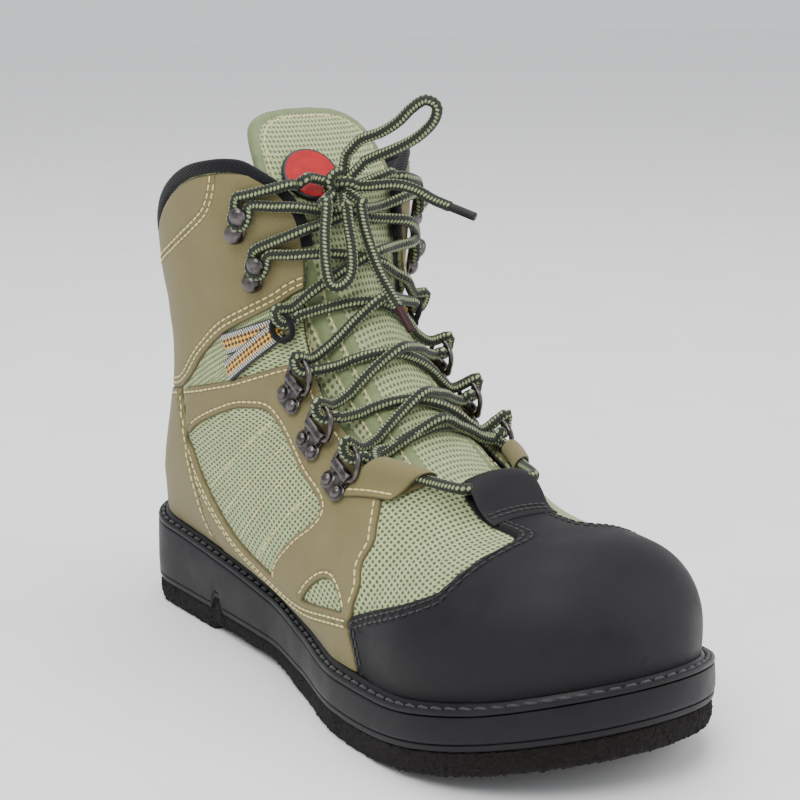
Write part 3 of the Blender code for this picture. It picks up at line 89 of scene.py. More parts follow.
# panel outlines in the side view, as shares of the sole's length and the collar's height
capEdge = ((0.690, 0.05), (0.688, 0.12), (0.672, 0.176), (0.660, 0.228), (0.689, 0.256), (0.757, 0.300),
           (0.799, 0.334), (0.820, 0.360), (0.804, 0.386), (0.762, 0.407), (0.727, 0.424), (0.727, 0.60))
counterEdge = ((0.268, 0.12), (0.262, 0.20), (0.243, 0.293), (0.203, 0.387), (0.179, 0.480))
quarterTop = ((0.178, 0.522), (0.190, 0.524), (0.292, 0.566), (0.353, 0.599), (0.390, 0.620), (0.46, 0.655))
strapFront = ((0.660, 0.250), (0.664, 0.290), (0.652, 0.325), (0.653, 0.365), (0.640, 0.395),
              (0.618, 0.452), (0.610, 0.520))
mainWindow = ((0.214, 0.442), (0.300, 0.505), (0.350, 0.524), (0.388, 0.526), (0.430, 0.495),
              (0.484, 0.438), (0.542, 0.384), (0.500, 0.318), (0.464, 0.262), (0.430, 0.190),
              (0.300, 0.190), (0.215, 0.300), (0.196, 0.390))
smallWindow = ((0.540, 0.190), (0.548, 0.228), (0.572, 0.262), (0.592, 0.276), (0.610, 0.272),
               (0.632, 0.245), (0.645, 0.190))
cuffEdge = ((-0.05, 0.478), (0.060, 0.480), (0.130, 0.500), (0.179, 0.526), (0.236, 0.606), (0.280, 0.661),
            (0.335, 0.709), (0.371, 0.742), (0.402, 0.778), (0.50, 0.86))
randTop = ((0.170, 0.500), (0.203, 0.414), (0.231, 0.369), (0.286, 0.310), (0.352, 0.254), (0.421, 0.229),
           (0.524, 0.209), (0.619, 0.227), (0.700, 0.250))
decoSeam = ((0.305, 1.02), (0.300, 0.975), (0.292, 0.941), (0.276, 0.911), (0.232, 0.867), (0.174, 0.818),
            (0.100, 0.770), (0.020, 0.735), (-0.05, 0.72))


# the last's surface

curveStore = {}


def curveOf(table, column):
    # places, values and slopes of one column, worked out once for each table
    key = (table, column)
    if key not in curveStore:
        place = np.array([row[0] for row in table], float)
        value = np.array([row[column] for row in table], float)
        step = np.diff(place)
        slope = np.diff(value) / step
        tangent = np.concatenate([slope[:1], np.zeros(len(place) - 2), slope[-1:]])
        for i in range(1, len(place) - 1):
            if slope[i - 1] * slope[i] > 0:
                first = 2 * step[i] + step[i - 1]
                second = step[i] + 2 * step[i - 1]
                tangent[i] = (first + second) / (first / slope[i - 1] + second / slope[i])
        curveStore[key] = place, value, tangent, step
    return curveStore[key]


def throughPoints(table, column, at):
    # smooth curve without overshoot through one column of a table whose first column is its place
    place, value, tangent, step = curveOf(table, column)
    at = np.asarray(at, float)
    i = np.clip(np.searchsorted(place, at) - 1, 0, len(place) - 2)
    t = np.clip((at - place[i]) / step[i], 0, 1)
    return (value[i] * (1 + 2 * t) * (1 - t) ** 2 + tangent[i] * step[i] * t * (1 - t) ** 2
            + value[i + 1] * t * t * (3 - 2 * t) + tangent[i + 1] * step[i] * t * t * (t - 1))


def closing(distance, reach, power):
    inner = 1 - np.clip(distance / reach, 0, 1)
    return (1 - inner ** power) ** (1 / power)


def easeBetween(value, low, high):
    t = np.clip((np.asarray(value, float) - low) / (high - low), 0, 1)
    return t * t * (3 - 2 * t)


def soleSides(x, inset=0.0, heelInset=0.0):
    share = np.asarray(x, float) / length
    outer = throughPoints(soleOutline, 1, share) * ball - inset
    inner = throughPoints(soleOutline, 2, share) * ball - inset
    centre = easeBetween(share, 0.6, 1.0) * 0.030 * ball
    close = closing(x - heelInset, 0.040, 2.2) * closing(length - inset - x, 0.068, 2.2)
    return centre - (outer + centre) * close, centre + (inner - centre) * close


def featherHeight(x):
    return throughPoints(featherLine, 1, np.asarray(x, float) / length) * boot["featherHeight"]


def toeSpring(x):
    return 0.019 * np.clip((np.asarray(x, float) / length - 0.68) / 0.32, 0, 1) ** 1.8


lastTables = {name: tuple((n, r[k]) for n, r in enumerate(lastRows) if r[k] is not None)
              for k, name in enumerate(lastColumns)}
cornerUp = float(throughPoints(featherLine, 1,
                               boot["heelWeltWidth"] / length)) * boot["featherHeight"] / height
backTable = ((cornerRow, cornerUp),) + tuple((n, lastRows[n][1]) for n in range(cornerRow + 1, len(lastRows)))


def lastColumn(name, row):
    values = lastTables[name]
    return throughPoints(values, 1, np.clip(row, values[0][0], values[-1][0]))


def lastSection(row, side):
    feather = length - boot["weltWidth"] - boot["heelWeltWidth"]
    lowX = boot["heelWeltWidth"] + lastColumn("lowAlong", row) * feather
    topX = boot["heelWeltWidth"] + lastColumn("topAlong", row) * feather
    lowZ = np.where(row <= cornerRow, featherHeight(lowX),
                    throughPoints(backTable, 1, np.maximum(row, cornerRow)) * height)
    topZ = lastColumn("topUp", row) * height
    drop = closing(length - boot["weltWidth"] - lowX, 0.036, 2.3)
    topZ = np.where(row < 4, lowZ + (topZ - lowZ) * drop, topZ)
    outer, inner = soleSides(lowX, boot["weltWidth"], boot["heelWeltWidth"])
    foot = -outer if side < 0 else inner
    body = lastColumn("lateral" if side < 0 else "medial", row) * ball
    mix = easeBetween(row, 2, 3)
    width = foot * 1.015 * (1 - mix) + body * mix
    lowShare = np.where(row < cornerRow, np.clip(foot / np.maximum(width, 1e-6), 0, 1), 0.0)
    return lowX, lowZ, topX, topZ, width, lowShare


def lastPoint(row, turn, side):
    # turn 0 is the feather or the back, 1 the widest line, 2 the top
    row, turn = np.broadcast_arrays(np.asarray(row, float), np.asarray(turn, float))
    lowX, lowZ, topX, topZ, width, lowShare = lastSection(row, side)
    widest = lastColumn("widest", row)
    back = lastColumn("backRound", row)
    front = lastColumn("frontRound", row)
    lowAngle = np.clip(turn, 0, 1) * math.pi / 2
    topAngle = np.clip(turn - 1, 0, 1) * math.pi / 2
    lowPart = np.clip(np.cos(lowAngle), 0, 1) ** (2 / back)
    topPart = np.clip(np.sin(topAngle), 0, 1) ** (2 / front)
    t = np.where(turn < 1, widest * (1 - lowPart), widest + (1 - widest) * topPart)
    lowY = (1 - (1 - lowShare ** back) * lowPart ** back) ** (1 / back)
    topY = np.clip(np.cos(topAngle), 0, 1) ** (2 / front)
    y = width * np.where(turn < 1, lowY, topY) * side
    bow = lastColumn("bow", row) * height * throughPoints(bowShape, 1, t)
    return np.stack([lowX + (topX - lowX) * t, y, lowZ + (topZ - lowZ) * t + bow], -1)


def turnAt(row, y):
    side = -1 if y < 0 else 1
    width = lastSection(np.asarray(row, float), side)[4]
    share = np.clip(abs(y) / np.maximum(width, 1e-6), 0, 1)
    return 1 + np.arccos(share ** (lastColumn("frontRound", row) / 2)) / (math.pi / 2)


def throatTurn(row, side):
    _, _, topX, _, width, _ = lastSection(row, side)
    half = lastColumn("throat", row) * ball * closing(0.2155 - topX, 0.026, 2.0)
    half = np.where(topX < 0.2155, half, 0.0)
    share = np.clip(half / np.maximum(width, 1e-6), 0, 1)
    return 1 + np.arccos(share ** (lastColumn("frontRound", row) / 2)) / (math.pi / 2)


def lastNormal(row, turn, side):
    along = lastPoint(row + 0.01, turn, side) - lastPoint(row - 0.01, turn, side)
    across = lastPoint(row, turn + 0.005, side) - lastPoint(row, turn - 0.005, side)
    return Vector(np.cross(along, across) * side).normalized()


def over(row, y, rise):
    # a point at a height over the last, by row number and half width
    side = -1 if y < 0 else 1
    turn = float(turnAt(row, y))
    return Vector(lastPoint(row, turn, side)) + lastNormal(row, turn, side) * rise


# the fine grid that the skin and every panel are laid on

gridSettings = {
    "rowSteps": (26, 20, 22, 30, 26, 24, 18, 14, 12, 11, 11, 10, 9),
    # cells between one section and the next
    "lowSteps": 26,
    "topSteps": 32,
}


def gridRows():
    rows = []
    for number, count in enumerate(gridSettings["rowSteps"]):
        for k in range(count):
            t = k / count
            if number == 0:
                t = t ** 1.8          # closer together at the toe's tip
            rows.append(number + t)
    return np.array(rows + [collarRow])


def makeGrid(side):
    rows = gridRows()
    ends = throatTurn(rows, side)
    low = np.linspace(0, 1, gridSettings["lowSteps"] + 1)[:-1]
    top = np.linspace(0, 1, gridSettings["topSteps"] + 1)
    turns = np.concatenate([np.tile(low, (len(rows), 1)), 1 + np.outer(ends - 1, top)], axis=1)
    rowGrid = np.tile(rows[:, None], (1, turns.shape[1]))
    points = lastPoint(rowGrid, turns, side)
    eps = 0.004
    along = lastPoint(np.clip(rowGrid + eps, 0, collarRow), turns, side) - lastPoint(
        np.clip(rowGrid - eps, 0, collarRow), turns, side)
    safe = np.clip(turns, 0.02, 1.985)
    across = lastPoint(rowGrid, safe + 0.01, side) - lastPoint(rowGrid, safe - 0.01, side)
    normals = np.cross(along, across) * side
    normals /= np.maximum(np.linalg.norm(normals, axis=2, keepdims=True), 1e-12)
    seam = np.abs(points[:, :, 1]) < 1e-5           # the middle line, shared by both sides
    normals[seam, 1] = 0.0
    normals /= np.maximum(np.linalg.norm(normals, axis=2, keepdims=True), 1e-12)
    tips, tipNormals = [], []
    for share in (0.0, 0.4, 0.75):
        tips.append(points[0] * (1, share, 1) + np.array([(1 - share ** 2) * 0.0004, 0, 0]))
        tip = normals[0] * (1, share, 1) + np.array([(1 - share) * 0.6, 0, 0])
        tipNormals.append(tip / np.linalg.norm(tip, axis=1, keepdims=True))
    points = np.concatenate([np.array(tips), points])
    normals = np.concatenate([np.array(tipNormals), normals])
    turns = np.concatenate([turns[:1]] * 3 + [turns])
    rowGrid = np.concatenate([rowGrid[:1]] * 3 + [rowGrid])
    rows = rowGrid[:, 0]
    stepAcross = np.linalg.norm(np.diff(points, axis=1), axis=2)
    v = np.concatenate([np.zeros((len(rows), 1)), np.cumsum(stepAcross, axis=1)], axis=1)
    middle = points[:, gridSettings["lowSteps"], :]
    u = np.concatenate([[0.0], np.cumsum(np.linalg.norm(np.diff(middle, axis=0), axis=1))])
    return {"side": side, "points": points, "normals": normals, "turns": turns, "rows": rowGrid,
            "u": np.tile(u[:, None], (1, turns.shape[1])), "v": v}


grids = {-1: makeGrid(-1), 1: makeGrid(1)}


def roundedLine(points, closed=False, steps=8):
    pts = [np.array(p, float) for p in points]
    count = len(pts)
    out = []
    for i in range(count if closed else count - 1):
        if closed:
            a, b, c, d = (pts[(i + k - 1) % count] for k in range(4))
        else:
            a, b, c, d = (pts[min(max(i + k - 1, 0), count - 1)] for k in range(4))
        for k in range(steps):
            t = k / steps
            out.append(0.5 * (2 * b + (c - a) * t + (2 * a - 5 * b + 4 * c - d) * t * t
                              + (3 * b - a - 3 * c + d) * t ** 3))
    if not closed:
        out.append(pts[-1])
    return np.array(out)


def sideLine(shares, closed=False, steps=8):
    # side-view curve in metres from an outline in shares
    return roundedLine(shares, closed, steps) * np.array([length, height])


def lineDistance(line, x, z, closed=False):
    # distance to a side-view line, and on which side of it a place lies (left of its direction is plus)
    best = np.full(x.shape, 9.0)
    sign = np.ones(x.shape)
    middle = np.zeros(x.shape, bool)
    ends = list(zip(line, line[1:])) + ([(line[-1], line[0])] if closed else [])
    for number, (a, b) in enumerate(ends):
        d = b - a
        size = max(float(d @ d), 1e-12)
        t = ((x - a[0]) * d[0] + (z - a[1]) * d[1]) / size
        inner = np.clip(t, 0, 1)
        gap = np.hypot(x - a[0] - inner * d[0], z - a[1] - inner * d[1])
        nearer = gap < best - 1e-9
        best = np.where(nearer, gap, best)
        side = np.sign(d[0] * (z - a[1]) - d[1] * (x - a[0]))
        sign = np.where(nearer, side, sign)
        beyond = ((number == 0) & (t < 0)) | ((number == len(ends) - 1) & (t > 1))
        middle = np.where(nearer, ~beyond if not closed else True, middle)
    return best, sign, middle


def insideDistance(outline, x, z):
    # distance to a closed outline, plus inside it and minus outside
    best, _, _ = lineDistance(outline, x, z, True)
    inside = np.zeros(x.shape, bool)
    for a, b in zip(outline, np.roll(outline, -1, axis=0)):
        crosses = (a[1] > z) != (b[1] > z)
        with np.errstate(divide="ignore", invalid="ignore"):
            place = a[0] + (z - a[1]) * (b[0] - a[0]) / (b[1] - a[1])
        inside ^= crosses & (x < place)
    return np.where(inside, best, -best)


def floorLine(start, end, count=30):
    x = np.linspace(start, end, count) * length
    return np.stack([x, featherHeight(x) - 0.006], -1)


def finishMesh(name, verts, faces, values=None, uvs=None, smoothAngle=40.0):
    mesh = bpy.data.meshes.new(name)
    mesh.from_pydata([(v[0] - boot["heelRest"], v[1], v[2]) for v in verts], [], faces)
    for key, numbers in (values or {}).items():
        layer = mesh.attributes.new(key, "FLOAT", "POINT")
        layer.data.foreach_set("value", np.array(numbers, float))
    if uvs is not None:
        layer = mesh.uv_layers.new(name="weave")
        index = np.zeros(len(mesh.loops), int)
        mesh.loops.foreach_get("vertex_index", index)
        layer.data.foreach_set("uv", np.array(uvs, float)[index].ravel())
    bm = bmesh.new()
    bm.from_mesh(mesh)
    bmesh.ops.remove_doubles(bm, verts=bm.verts, dist=2e-6)
    bmesh.ops.recalc_face_normals(bm, faces=bm.faces)
    bm.to_mesh(mesh)
    bm.free()
    mesh.shade_smooth()
    mesh.set_sharp_from_angle(angle=math.radians(smoothAngle))
    piece = bpy.data.objects.new(name, mesh)
    bpy.context.collection.objects.link(piece)
    return piece


def clipGrid(field):
    # faces of the grid where the field is above 0, cut cleanly along its zero line
    n, m = field.shape
    flat = field.ravel()
    keep = {}
    order = []
    cuts = {}

    def corner(k):
        if k not in keep:
            keep[k] = len(order)
            order.append((k, k, 0.0))
        return keep[k]

    def between(a, b):
        key = (min(a, b), max(a, b))
        if key not in cuts:
            low, high = key
            t = flat[low] / (flat[low] - flat[high])
            cuts[key] = len(order)
            order.append((low, high, float(np.clip(t, 0.02, 0.98))))
        return cuts[key]

    faces = []
    above = flat > 0
    for i in range(n - 1):
        for j in range(m - 1):
            quad = (i * m + j, i * m + j + 1, (i + 1) * m + j + 1, (i + 1) * m + j)
            inside = [above[k] for k in quad]
            if not any(inside):
                continue
            if all(inside):
                faces.append([corner(k) for k in quad])
                continue
            ring = []
            for k in range(4):
                a, b = quad[k], quad[(k + 1) % 4]
                if above[a]:
                    ring.append(corner(a))
                if above[a] != above[b]:
                    ring.append(between(a, b))
            if len(ring) > 2:
                faces.append(ring)
    low = np.array([o[0] for o in order])
    high = np.array([o[1] for o in order])
    t = np.array([o[2] for o in order])

    def mixed(values):
        values = values.reshape(n * m, -1)
        return values[low] * (1 - t[:, None]) + values[high] * t[:, None]

    return faces, mixed


def layOver(name, fieldOf, heightOf, sides=(-1, 1), depth=0.0006):
    # a closed panel laid on the last where the field is above 0; the border rolls down to the skin
    verts, faces, uvs = [], [], []
    values = {"edge": [], "seam": []}
    for side in sides:
        grid = grids[side]
        x, z = grid["points"][:, :, 0], grid["points"][:, :, 2]
        field = fieldOf(grid, x, z)
        seam = seamDistance(grid, x, z)
        some, mixed = clipGrid(field)
        points = mixed(grid["points"])
        normals = mixed(grid["normals"])
        normals /= np.linalg.norm(normals, axis=1, keepdims=True)
        inside = mixed(field)[:, 0]
        rise = heightOf(grid, mixed, inside) + creaseHeight(points, side)
        start = len(verts)
        count = len(points)
        outer = points + normals * rise[:, None]
        inner = points - normals * depth
        feather = featherHeight(outer[:, 0])
        outer[:, 2] = np.maximum(outer[:, 2], feather + 0.0001)
        inner[:, 2] = np.maximum(inner[:, 2], feather + 0.00005)
        verts += list(outer) + list(inner)
        uv = np.stack([mixed(grid["u"])[:, 0], mixed(grid["v"])[:, 0] * side], -1) / mm
        uvs += list(uv) * 2
        values["edge"] += list(inside / mm) * 2
        values["seam"] += list(mixed(seam)[:, 0] / mm) * 2
        edges = {}
        for face in some:
            faces.append([start + k for k in face])
            faces.append([start + count + k for k in face[::-1]])
            for a, b in zip(face, face[1:] + face[:1]):
                edges[(a, b)] = edges.get((a, b), 0) + 1
        for a, b in edges:
            if (b, a) not in edges:
                # the middle line is shared by both sides, so it gets no wall
                if abs(points[a][1]) < 1e-5 and abs(points[b][1]) < 1e-5 and len(sides) == 2:
                    continue
                faces.append([start + a, start + count + a, start + count + b, start + b])
    return finishMesh(name, verts, faces, values, uvs, 60.0)


def rolled(inside, thickness, radius=0.0011):
    # height over the skin near a rolled edge
    t = np.clip(inside / radius, 0, 1)
    return thickness * (0.25 + 0.75 * np.sqrt(1 - (1 - t) ** 2))


# seams and creases, in the side view

seams = {
    "offset": 0.0024,           # first row of stitches from a panel's edge
    "pair": 0.0022,             # between the two rows of a double seam
    "windowRows": (((0.268, 0.325), (0.401, 0.515)), ((0.313, 0.287), (0.441, 0.480)),
                   ((0.359, 0.252), (0.474, 0.450)), ((0.407, 0.232), (0.516, 0.414))),
}
creases = (  # side, middle in shares, direction in degrees, half length, half width, depth in mm
    (-1, (0.690, 0.300), 72, 16, 4.0, 0.5),
    (-1, (0.610, 0.345), 60, 17, 4.5, 0.45),
    (1, (0.665, 0.320), 66, 18, 4.5, 0.6),
    (1, (0.600, 0.330), 60, 16, 4.0, 0.4),
    (-1, (0.205, 0.560), 24, 26, 4.5, 0.7),
    (-1, (0.215, 0.640), 14, 24, 4.5, 0.55),
    (1, (0.205, 0.560), 20, 26, 4.5, 0.7),
    (1, (0.230, 0.650), 12, 22, 4.5, 0.6),
    (-1, (0.075, 0.640), -8, 16, 4.0, 0.4),
    (1, (0.075, 0.620), -6, 16, 4.0, 0.4),
    (-1, (0.290, 0.780), 76, 18, 7.0, -0.5),
    (1, (0.290, 0.780), 76, 18, 7.0, -0.5),
    (-1, (0.150, 0.880), 40, 15, 8.0, -0.4),
)


def creaseHeight(points, side):
    x, z = points[..., 0], points[..., 2]
    total = np.zeros(x.shape)
    for which, middle, angle, half, wide, depth in creases:
        if which != side:
            continue
        dx = x - middle[0] * length
        dz = z - middle[1] * height
        turn = math.radians(angle)
        along = (dx * math.cos(turn) + dz * math.sin(turn)) / (half * mm)
        across = (dz * math.cos(turn) - dx * math.sin(turn)) / (wide * mm)
        fold = np.exp(-across ** 2) - 0.35 * np.exp(-(across - 1.7) ** 2)
        total -= depth * mm * np.exp(-along ** 2) * fold
    return total


capLine = sideLine(capEdge)
counterLine = sideLine(counterEdge)
cuffLine = sideLine(cuffEdge)
quarterTopLine = sideLine(quarterTop)
strapLine = sideLine(strapFront)
windowLine = sideLine(mainWindow, True)
cornerLine = sideLine(smallWindow, True)
randLine = sideLine(randTop)
decoLine = sideLine(decoSeam)


def capField(grid, x, z):
    # the shell, and the tongue that runs back from it to the toe tab
    outline = np.concatenate([floorLine(0.686, 1.04), [[0.36, 0.13], [0.850 * length, 0.55 * height]],
                              capLine[:50][::-1]])
    shell = insideDistance(outline, x, z)
    y = np.abs(grid["points"][:, :, 1])
    tail = np.minimum(np.minimum(0.0138 - y, x - 0.728 * length), 0.02)
    round = 0.009
    share = np.clip(0.5 + 0.5 * (shell - tail) / round, 0, 1)
    return tail * (1 - share) + shell * share + round * share * (1 - share)


def quarterOutline():
    front = capLine[14:28]
    return np.concatenate([floorLine(0.255, 0.690), front[2:], strapLine, quarterTopLine[::-1],
                           counterLine[::-1][:-6]])


def aboveRand(x, z):
    gap, sign, _ = lineDistance(randLine, x, z)
    return gap * sign


def quarterField(grid, x, z):
    # both windows reach down to the rand
    outer = insideDistance(quarterOutline(), x, z)
    inner = np.maximum(insideDistance(windowLine, x, z), insideDistance(cornerLine, x, z))
    return np.minimum(outer, -np.minimum(inner, aboveRand(x, z) - 0.0004))


def counterField(grid, x, z):
    outline = np.concatenate([floorLine(-0.05, 0.266, 12), counterLine[6:], [[0.168 * length, 0.516 * height],
                              [0.120 * length, 0.498 * height], [0.060 * length, 0.482 * height],
                              [-0.05 * length, 0.480 * height]]])
    return insideDistance(outline, x, z)


def cuffField(grid, x, z):
    outline = np.concatenate([cuffLine, [[0.5 * length, 1.3 * height], [-0.05 * length, 1.3 * height]]])
    trim = (collarRow - 0.12 - grid["rows"]) * 0.013
    return np.minimum(insideDistance(outline, x, z), trim)


def seamDistance(grid, x, z):
    # distance to the nearest stitched row, for the groove and the painted shade beside it
    best = np.full(x.shape, 0.02)
    offset, pair = seams["offset"], seams["pair"]
    for line, rows in ((randLine, (-offset, -offset - pair)), (decoLine, (pair / 2, -pair / 2)),
                       (cuffLine, (offset, offset + pair)), (quarterTopLine, (-offset,))):
        gap, sign, middle = lineDistance(line, x, z)
        for row in rows:
            best = np.minimum(best, np.where(middle, np.abs(gap * sign - row), 0.02))
    above = aboveRand(x, z) > 0.0004
    for line in (windowLine, cornerLine):
        gap = -insideDistance(line, x, z)
        best = np.minimum(best, np.where(above, np.abs(gap - offset), 0.02))
    gap = capField(grid, x, z)
    for row in (offset, offset + pair):
        best = np.minimum(best, np.abs(gap - row))
    return best


def quarterHeight(grid, mixed, inside):
    x, z = mixed(grid["points"])[:, 0], mixed(grid["points"])[:, 2]
    gap, sign, _ = lineDistance(randLine, x, z)
    rand = easeBetween(-gap * sign, 0.0, 0.0008) * 0.0007
    return rolled(inside, 0.0013) + rand


def capHeight(grid, mixed, inside):
    return rolled(inside, 0.0021, 0.0016)


def plainHeight(thickness):
    return lambda grid, mixed, inside: rolled(inside, thickness)


# sole

soleSettings = {
    "stations": 150,
    "feltStations": 420,
    "breastAt": 0.078,
    "grooveWidth": 0.011,
    "grooveDepth": 0.0060,
    "feltThickness": 0.0100,
    "heelStep": 0.0030,
    "archEnd": 0.125,
    "ballStart": 0.170,
}


def breastGroove(x):
    half = soleSettings["grooveWidth"] / 2
    distance = np.abs(x - soleSettings["breastAt"] - half) / half
    return soleSettings["grooveDepth"] * np.clip(1.6 * (1 - distance), 0, 1)


def feltBottom(x):
    s = soleSettings
    arch = s["heelStep"] * easeBetween(x, s["breastAt"], s["breastAt"] + 0.004) * (
        1 - easeBetween(x, s["archEnd"], s["ballStart"]))
    return arch + toeSpring(x)


def rubberBottom(x):
    thick = soleSettings["feltThickness"] - 0.0005 * x / length
    return thick + toeSpring(x) + breastGroove(x)


def rubberTop(x):
    return featherHeight(x) - boot["weltThickness"]


def soleStations(count):
    even = np.linspace(0, math.pi, count)
    shares = list((1 - np.cos(even)) / 2)
    middle = soleSettings["breastAt"] / length
    shares += [middle + k * soleSettings["grooveWidth"] / length
               for k in (-0.1, 0.0, 0.2, 0.34, 0.66, 0.8, 1.0, 1.1)]
    return np.array(sorted(shares))


def soleLoft(name, levels, closeTop=True, rough=0.0, seed=1, count=soleSettings["stations"]):
    # slab or ring over the sole's outline; each level: inset, inset at the heel, height as a function of x
    shares = soleStations(count)
    rng = np.random.default_rng(seed)
    verts, rings, uvs = [], [], []
    run = 0.0
    for number, (inset, heelInset, rise) in enumerate(levels):
        start, end = heelInset + 1e-5, length - inset - 1e-5
        x = start + (end - start) * shares
        outer, inner = soleSides(x, inset, heelInset)
        z = rise(x)
        ring = [(a, b, c) for a, b, c in zip(x, outer, z)] + [(a, b, c) for a, b,
                                                              c in zip(x[::-1], inner[::-1], z[::-1])]
        ring = np.array(ring)
        if rough:
            ring += rng.normal(0, rough, ring.shape)
            ring[:, 2] = np.maximum(ring[:, 2], 0.0)
        rings.append(range(len(verts), len(verts) + len(ring)))
        verts += list(ring)
        step = np.linalg.norm(np.diff(ring, axis=0, append=ring[:1]), axis=1)
        u = np.concatenate([[0], np.cumsum(step)[:-1]]) / mm
        run += 0 if number == 0 else float(np.mean(np.linalg.norm(ring - last, axis=1))) / mm
        uvs += [(a, run) for a in u]
        last = ring
    faces = []
    count = len(rings[0])
    pairs = list(zip(rings, rings[1:])) + ([] if closeTop else [(rings[-1], rings[0])])
    for low, high in pairs:
        for i in range(count):
            j = (i + 1) % count
            faces.append((low[i], low[j], high[j], high[i]))
    if closeTop:
        half = count // 2
        for ring in (rings[0], rings[-1]):
            for i in range(half - 1):
                faces.append((ring[i], ring[i + 1], ring[count - 2 - i], ring[count - 1 - i]))
    return finishMesh(name, verts, faces, None, uvs, 40.0)


def makeFelt():
    levels = [(0.0030, 0.0030, feltBottom), (0.0016, 0.0016, lambda x: feltBottom(x) + 0.0003)]
    for k in range(14):
        t = k / 13
        inset = 0.0005 + 0.0006 * (2 * t - 1) ** 2
        levels.append((inset, inset, lambda x,
                       t=t: feltBottom(x) + 0.0010 + t * (rubberBottom(x) - feltBottom(x) - 0.0013)))
    levels.append((0.0022, 0.0022, lambda x: rubberBottom(x) - 0.0001))
    return soleLoft("feltOutsole", levels, True, 0.00020, 4, soleSettings["feltStations"])


def makeMidsole():
    span = lambda x: rubberTop(x) - rubberBottom(x)
    levels = [
        (0.0014, 0.0014, rubberBottom),
        (0.0004, 0.0004, lambda x: rubberBottom(x) + 0.0004),
        (0.0000, 0.0000, lambda x: rubberBottom(x) + 0.0012),
        (-0.0001, 0.0000, lambda x: rubberBottom(x) + 0.0026),
        (0.0004, 0.0002, lambda x: rubberBottom(x) + 0.0030),
        (-0.0001, 0.0000, lambda x: rubberBottom(x) + 0.0034),
        (-0.0004, 0.0000, lambda x: rubberBottom(x) + span(x) * 0.35),
        (-0.0003, 0.0000, lambda x: rubberBottom(x) + span(x) * 0.60),
        (0.0000, 0.0000, lambda x: rubberTop(x) - 0.0012),
        (0.0002, 0.0002, lambda x: rubberTop(x) - 0.0004),
        (0.0006, 0.0004, lambda x: rubberTop(x) - 0.0001),
        (0.0024, 0.0014, rubberTop),
    ]
    return soleLoft("midsoleWall", levels)


def makeWelt():
    top = boot["weltThickness"] - 0.0004
    seat = 0.0040
    section = [(0.0008, 0.0006, 0.0001), (0.0001, 0.0001, 0.0004), (0.0000, 0.0000, 0.0012),
               (0.0002, 0.0002, 0.0021),
               (0.0007, 0.0004, 0.0025), (0.0012, 0.0006, 0.0024), (0.0016, 0.0008, 0.0017),
               (0.0028, 0.0012, 0.0017),
               (0.0032, 0.0014, 0.0024), (0.0036, 0.0016, 0.0034), (0.0043, 0.0018, 0.0041),
               (0.0052, 0.0021, 0.0042),
               (0.0060, 0.0024, top),
               (boot["weltWidth"] + seat, boot["heelWeltWidth"] + seat, top),
               (boot["weltWidth"] + seat, boot["heelWeltWidth"] + seat, 0.0001)]
    levels = [(a, b, lambda x, c=c: rubberTop(x) + c) for a, b, c in section]
    return soleLoft("weltStrip", levels, False)


def makeInsole():
    inset = boot["weltWidth"] + 0.0052
    heel = boot["heelWeltWidth"] + 0.0052
    levels = [(inset, heel, lambda x: rubberTop(x) + 0.0006), (inset, heel, lambda x: rubberTop(x) + 0.0042),
              (inset + 0.0006, heel + 0.0006, lambda x: rubberTop(x) + 0.0050),
              (inset + 0.0022, heel + 0.0022, lambda x: rubberTop(x) + 0.0053)]
    return soleLoft("insoleBoard", levels)


# upper skin, panels, binding and tongue

def makeSkin():
    # the mesh cloth of the upper with its lining, open at collar, throat and underneath
    verts, faces, uvs, edge, seam = [], [], [], [], []
    for side in (-1, 1):
        grid = grids[side]
        points, normals = grid["points"], grid["normals"]
        n, m = points.shape[:2]
        dent = creaseHeight(points, side)[:, :, None]
        outer = (points + normals * (dent + 0.0001)).reshape(-1, 3)
        inner = (points - normals * (boot["wall"] - dent)).reshape(-1, 3)
        feather = featherHeight(outer[:, 0])
        outer[:, 2] = np.maximum(outer[:, 2], feather)
        inner[:, 2] = np.maximum(inner[:, 2], feather)
        start = len(verts)
        verts += list(outer) + list(inner)
        uv = np.stack([grid["u"].ravel(), grid["v"].ravel() * side], -1) / mm
        uvs += list(uv) * 2
        rim = np.minimum(grid["v"].max(axis=1)[:, None] - grid["v"], 0.02).ravel() / mm
        edge += list(rim) + [-1.0] * (n * m)
        seam += list(seamDistance(grid, points[:, :, 0], points[:, :, 2]).ravel() / mm) * 2
        for i in range(n - 1):
            for j in range(m - 1):
                a, b, c, d = (i * m + j, i * m + j + 1, (i + 1) * m + j + 1, (i + 1) * m + j)
                faces.append((start + a, start + b, start + c, start + d))
                faces.append((start + n * m + d, start + n * m + c, start + n * m + b, start + n * m + a))
        ring = []
        for i in range(n - 1):
            if grid["turns"][i, -1] < 2 - 1e-6 or grid["turns"][i + 1, -1] < 2 - 1e-6:
                ring.append((i * m + m - 1, (i + 1) * m + m - 1))
            if grid["rows"][i + 1, 0] <= cornerRow:
                ring.append((i * m, (i + 1) * m))
        for j in range(m - 1):
            ring.append(((n - 1) * m + j, (n - 1) * m + j + 1))
        for a, b in ring:
            faces.append((start + a, start + b, start + n * m + b, start + n * m + a))
    return finishMesh("upperSkin", verts, faces, {"edge": edge, "seam": seam}, uvs, 70.0)


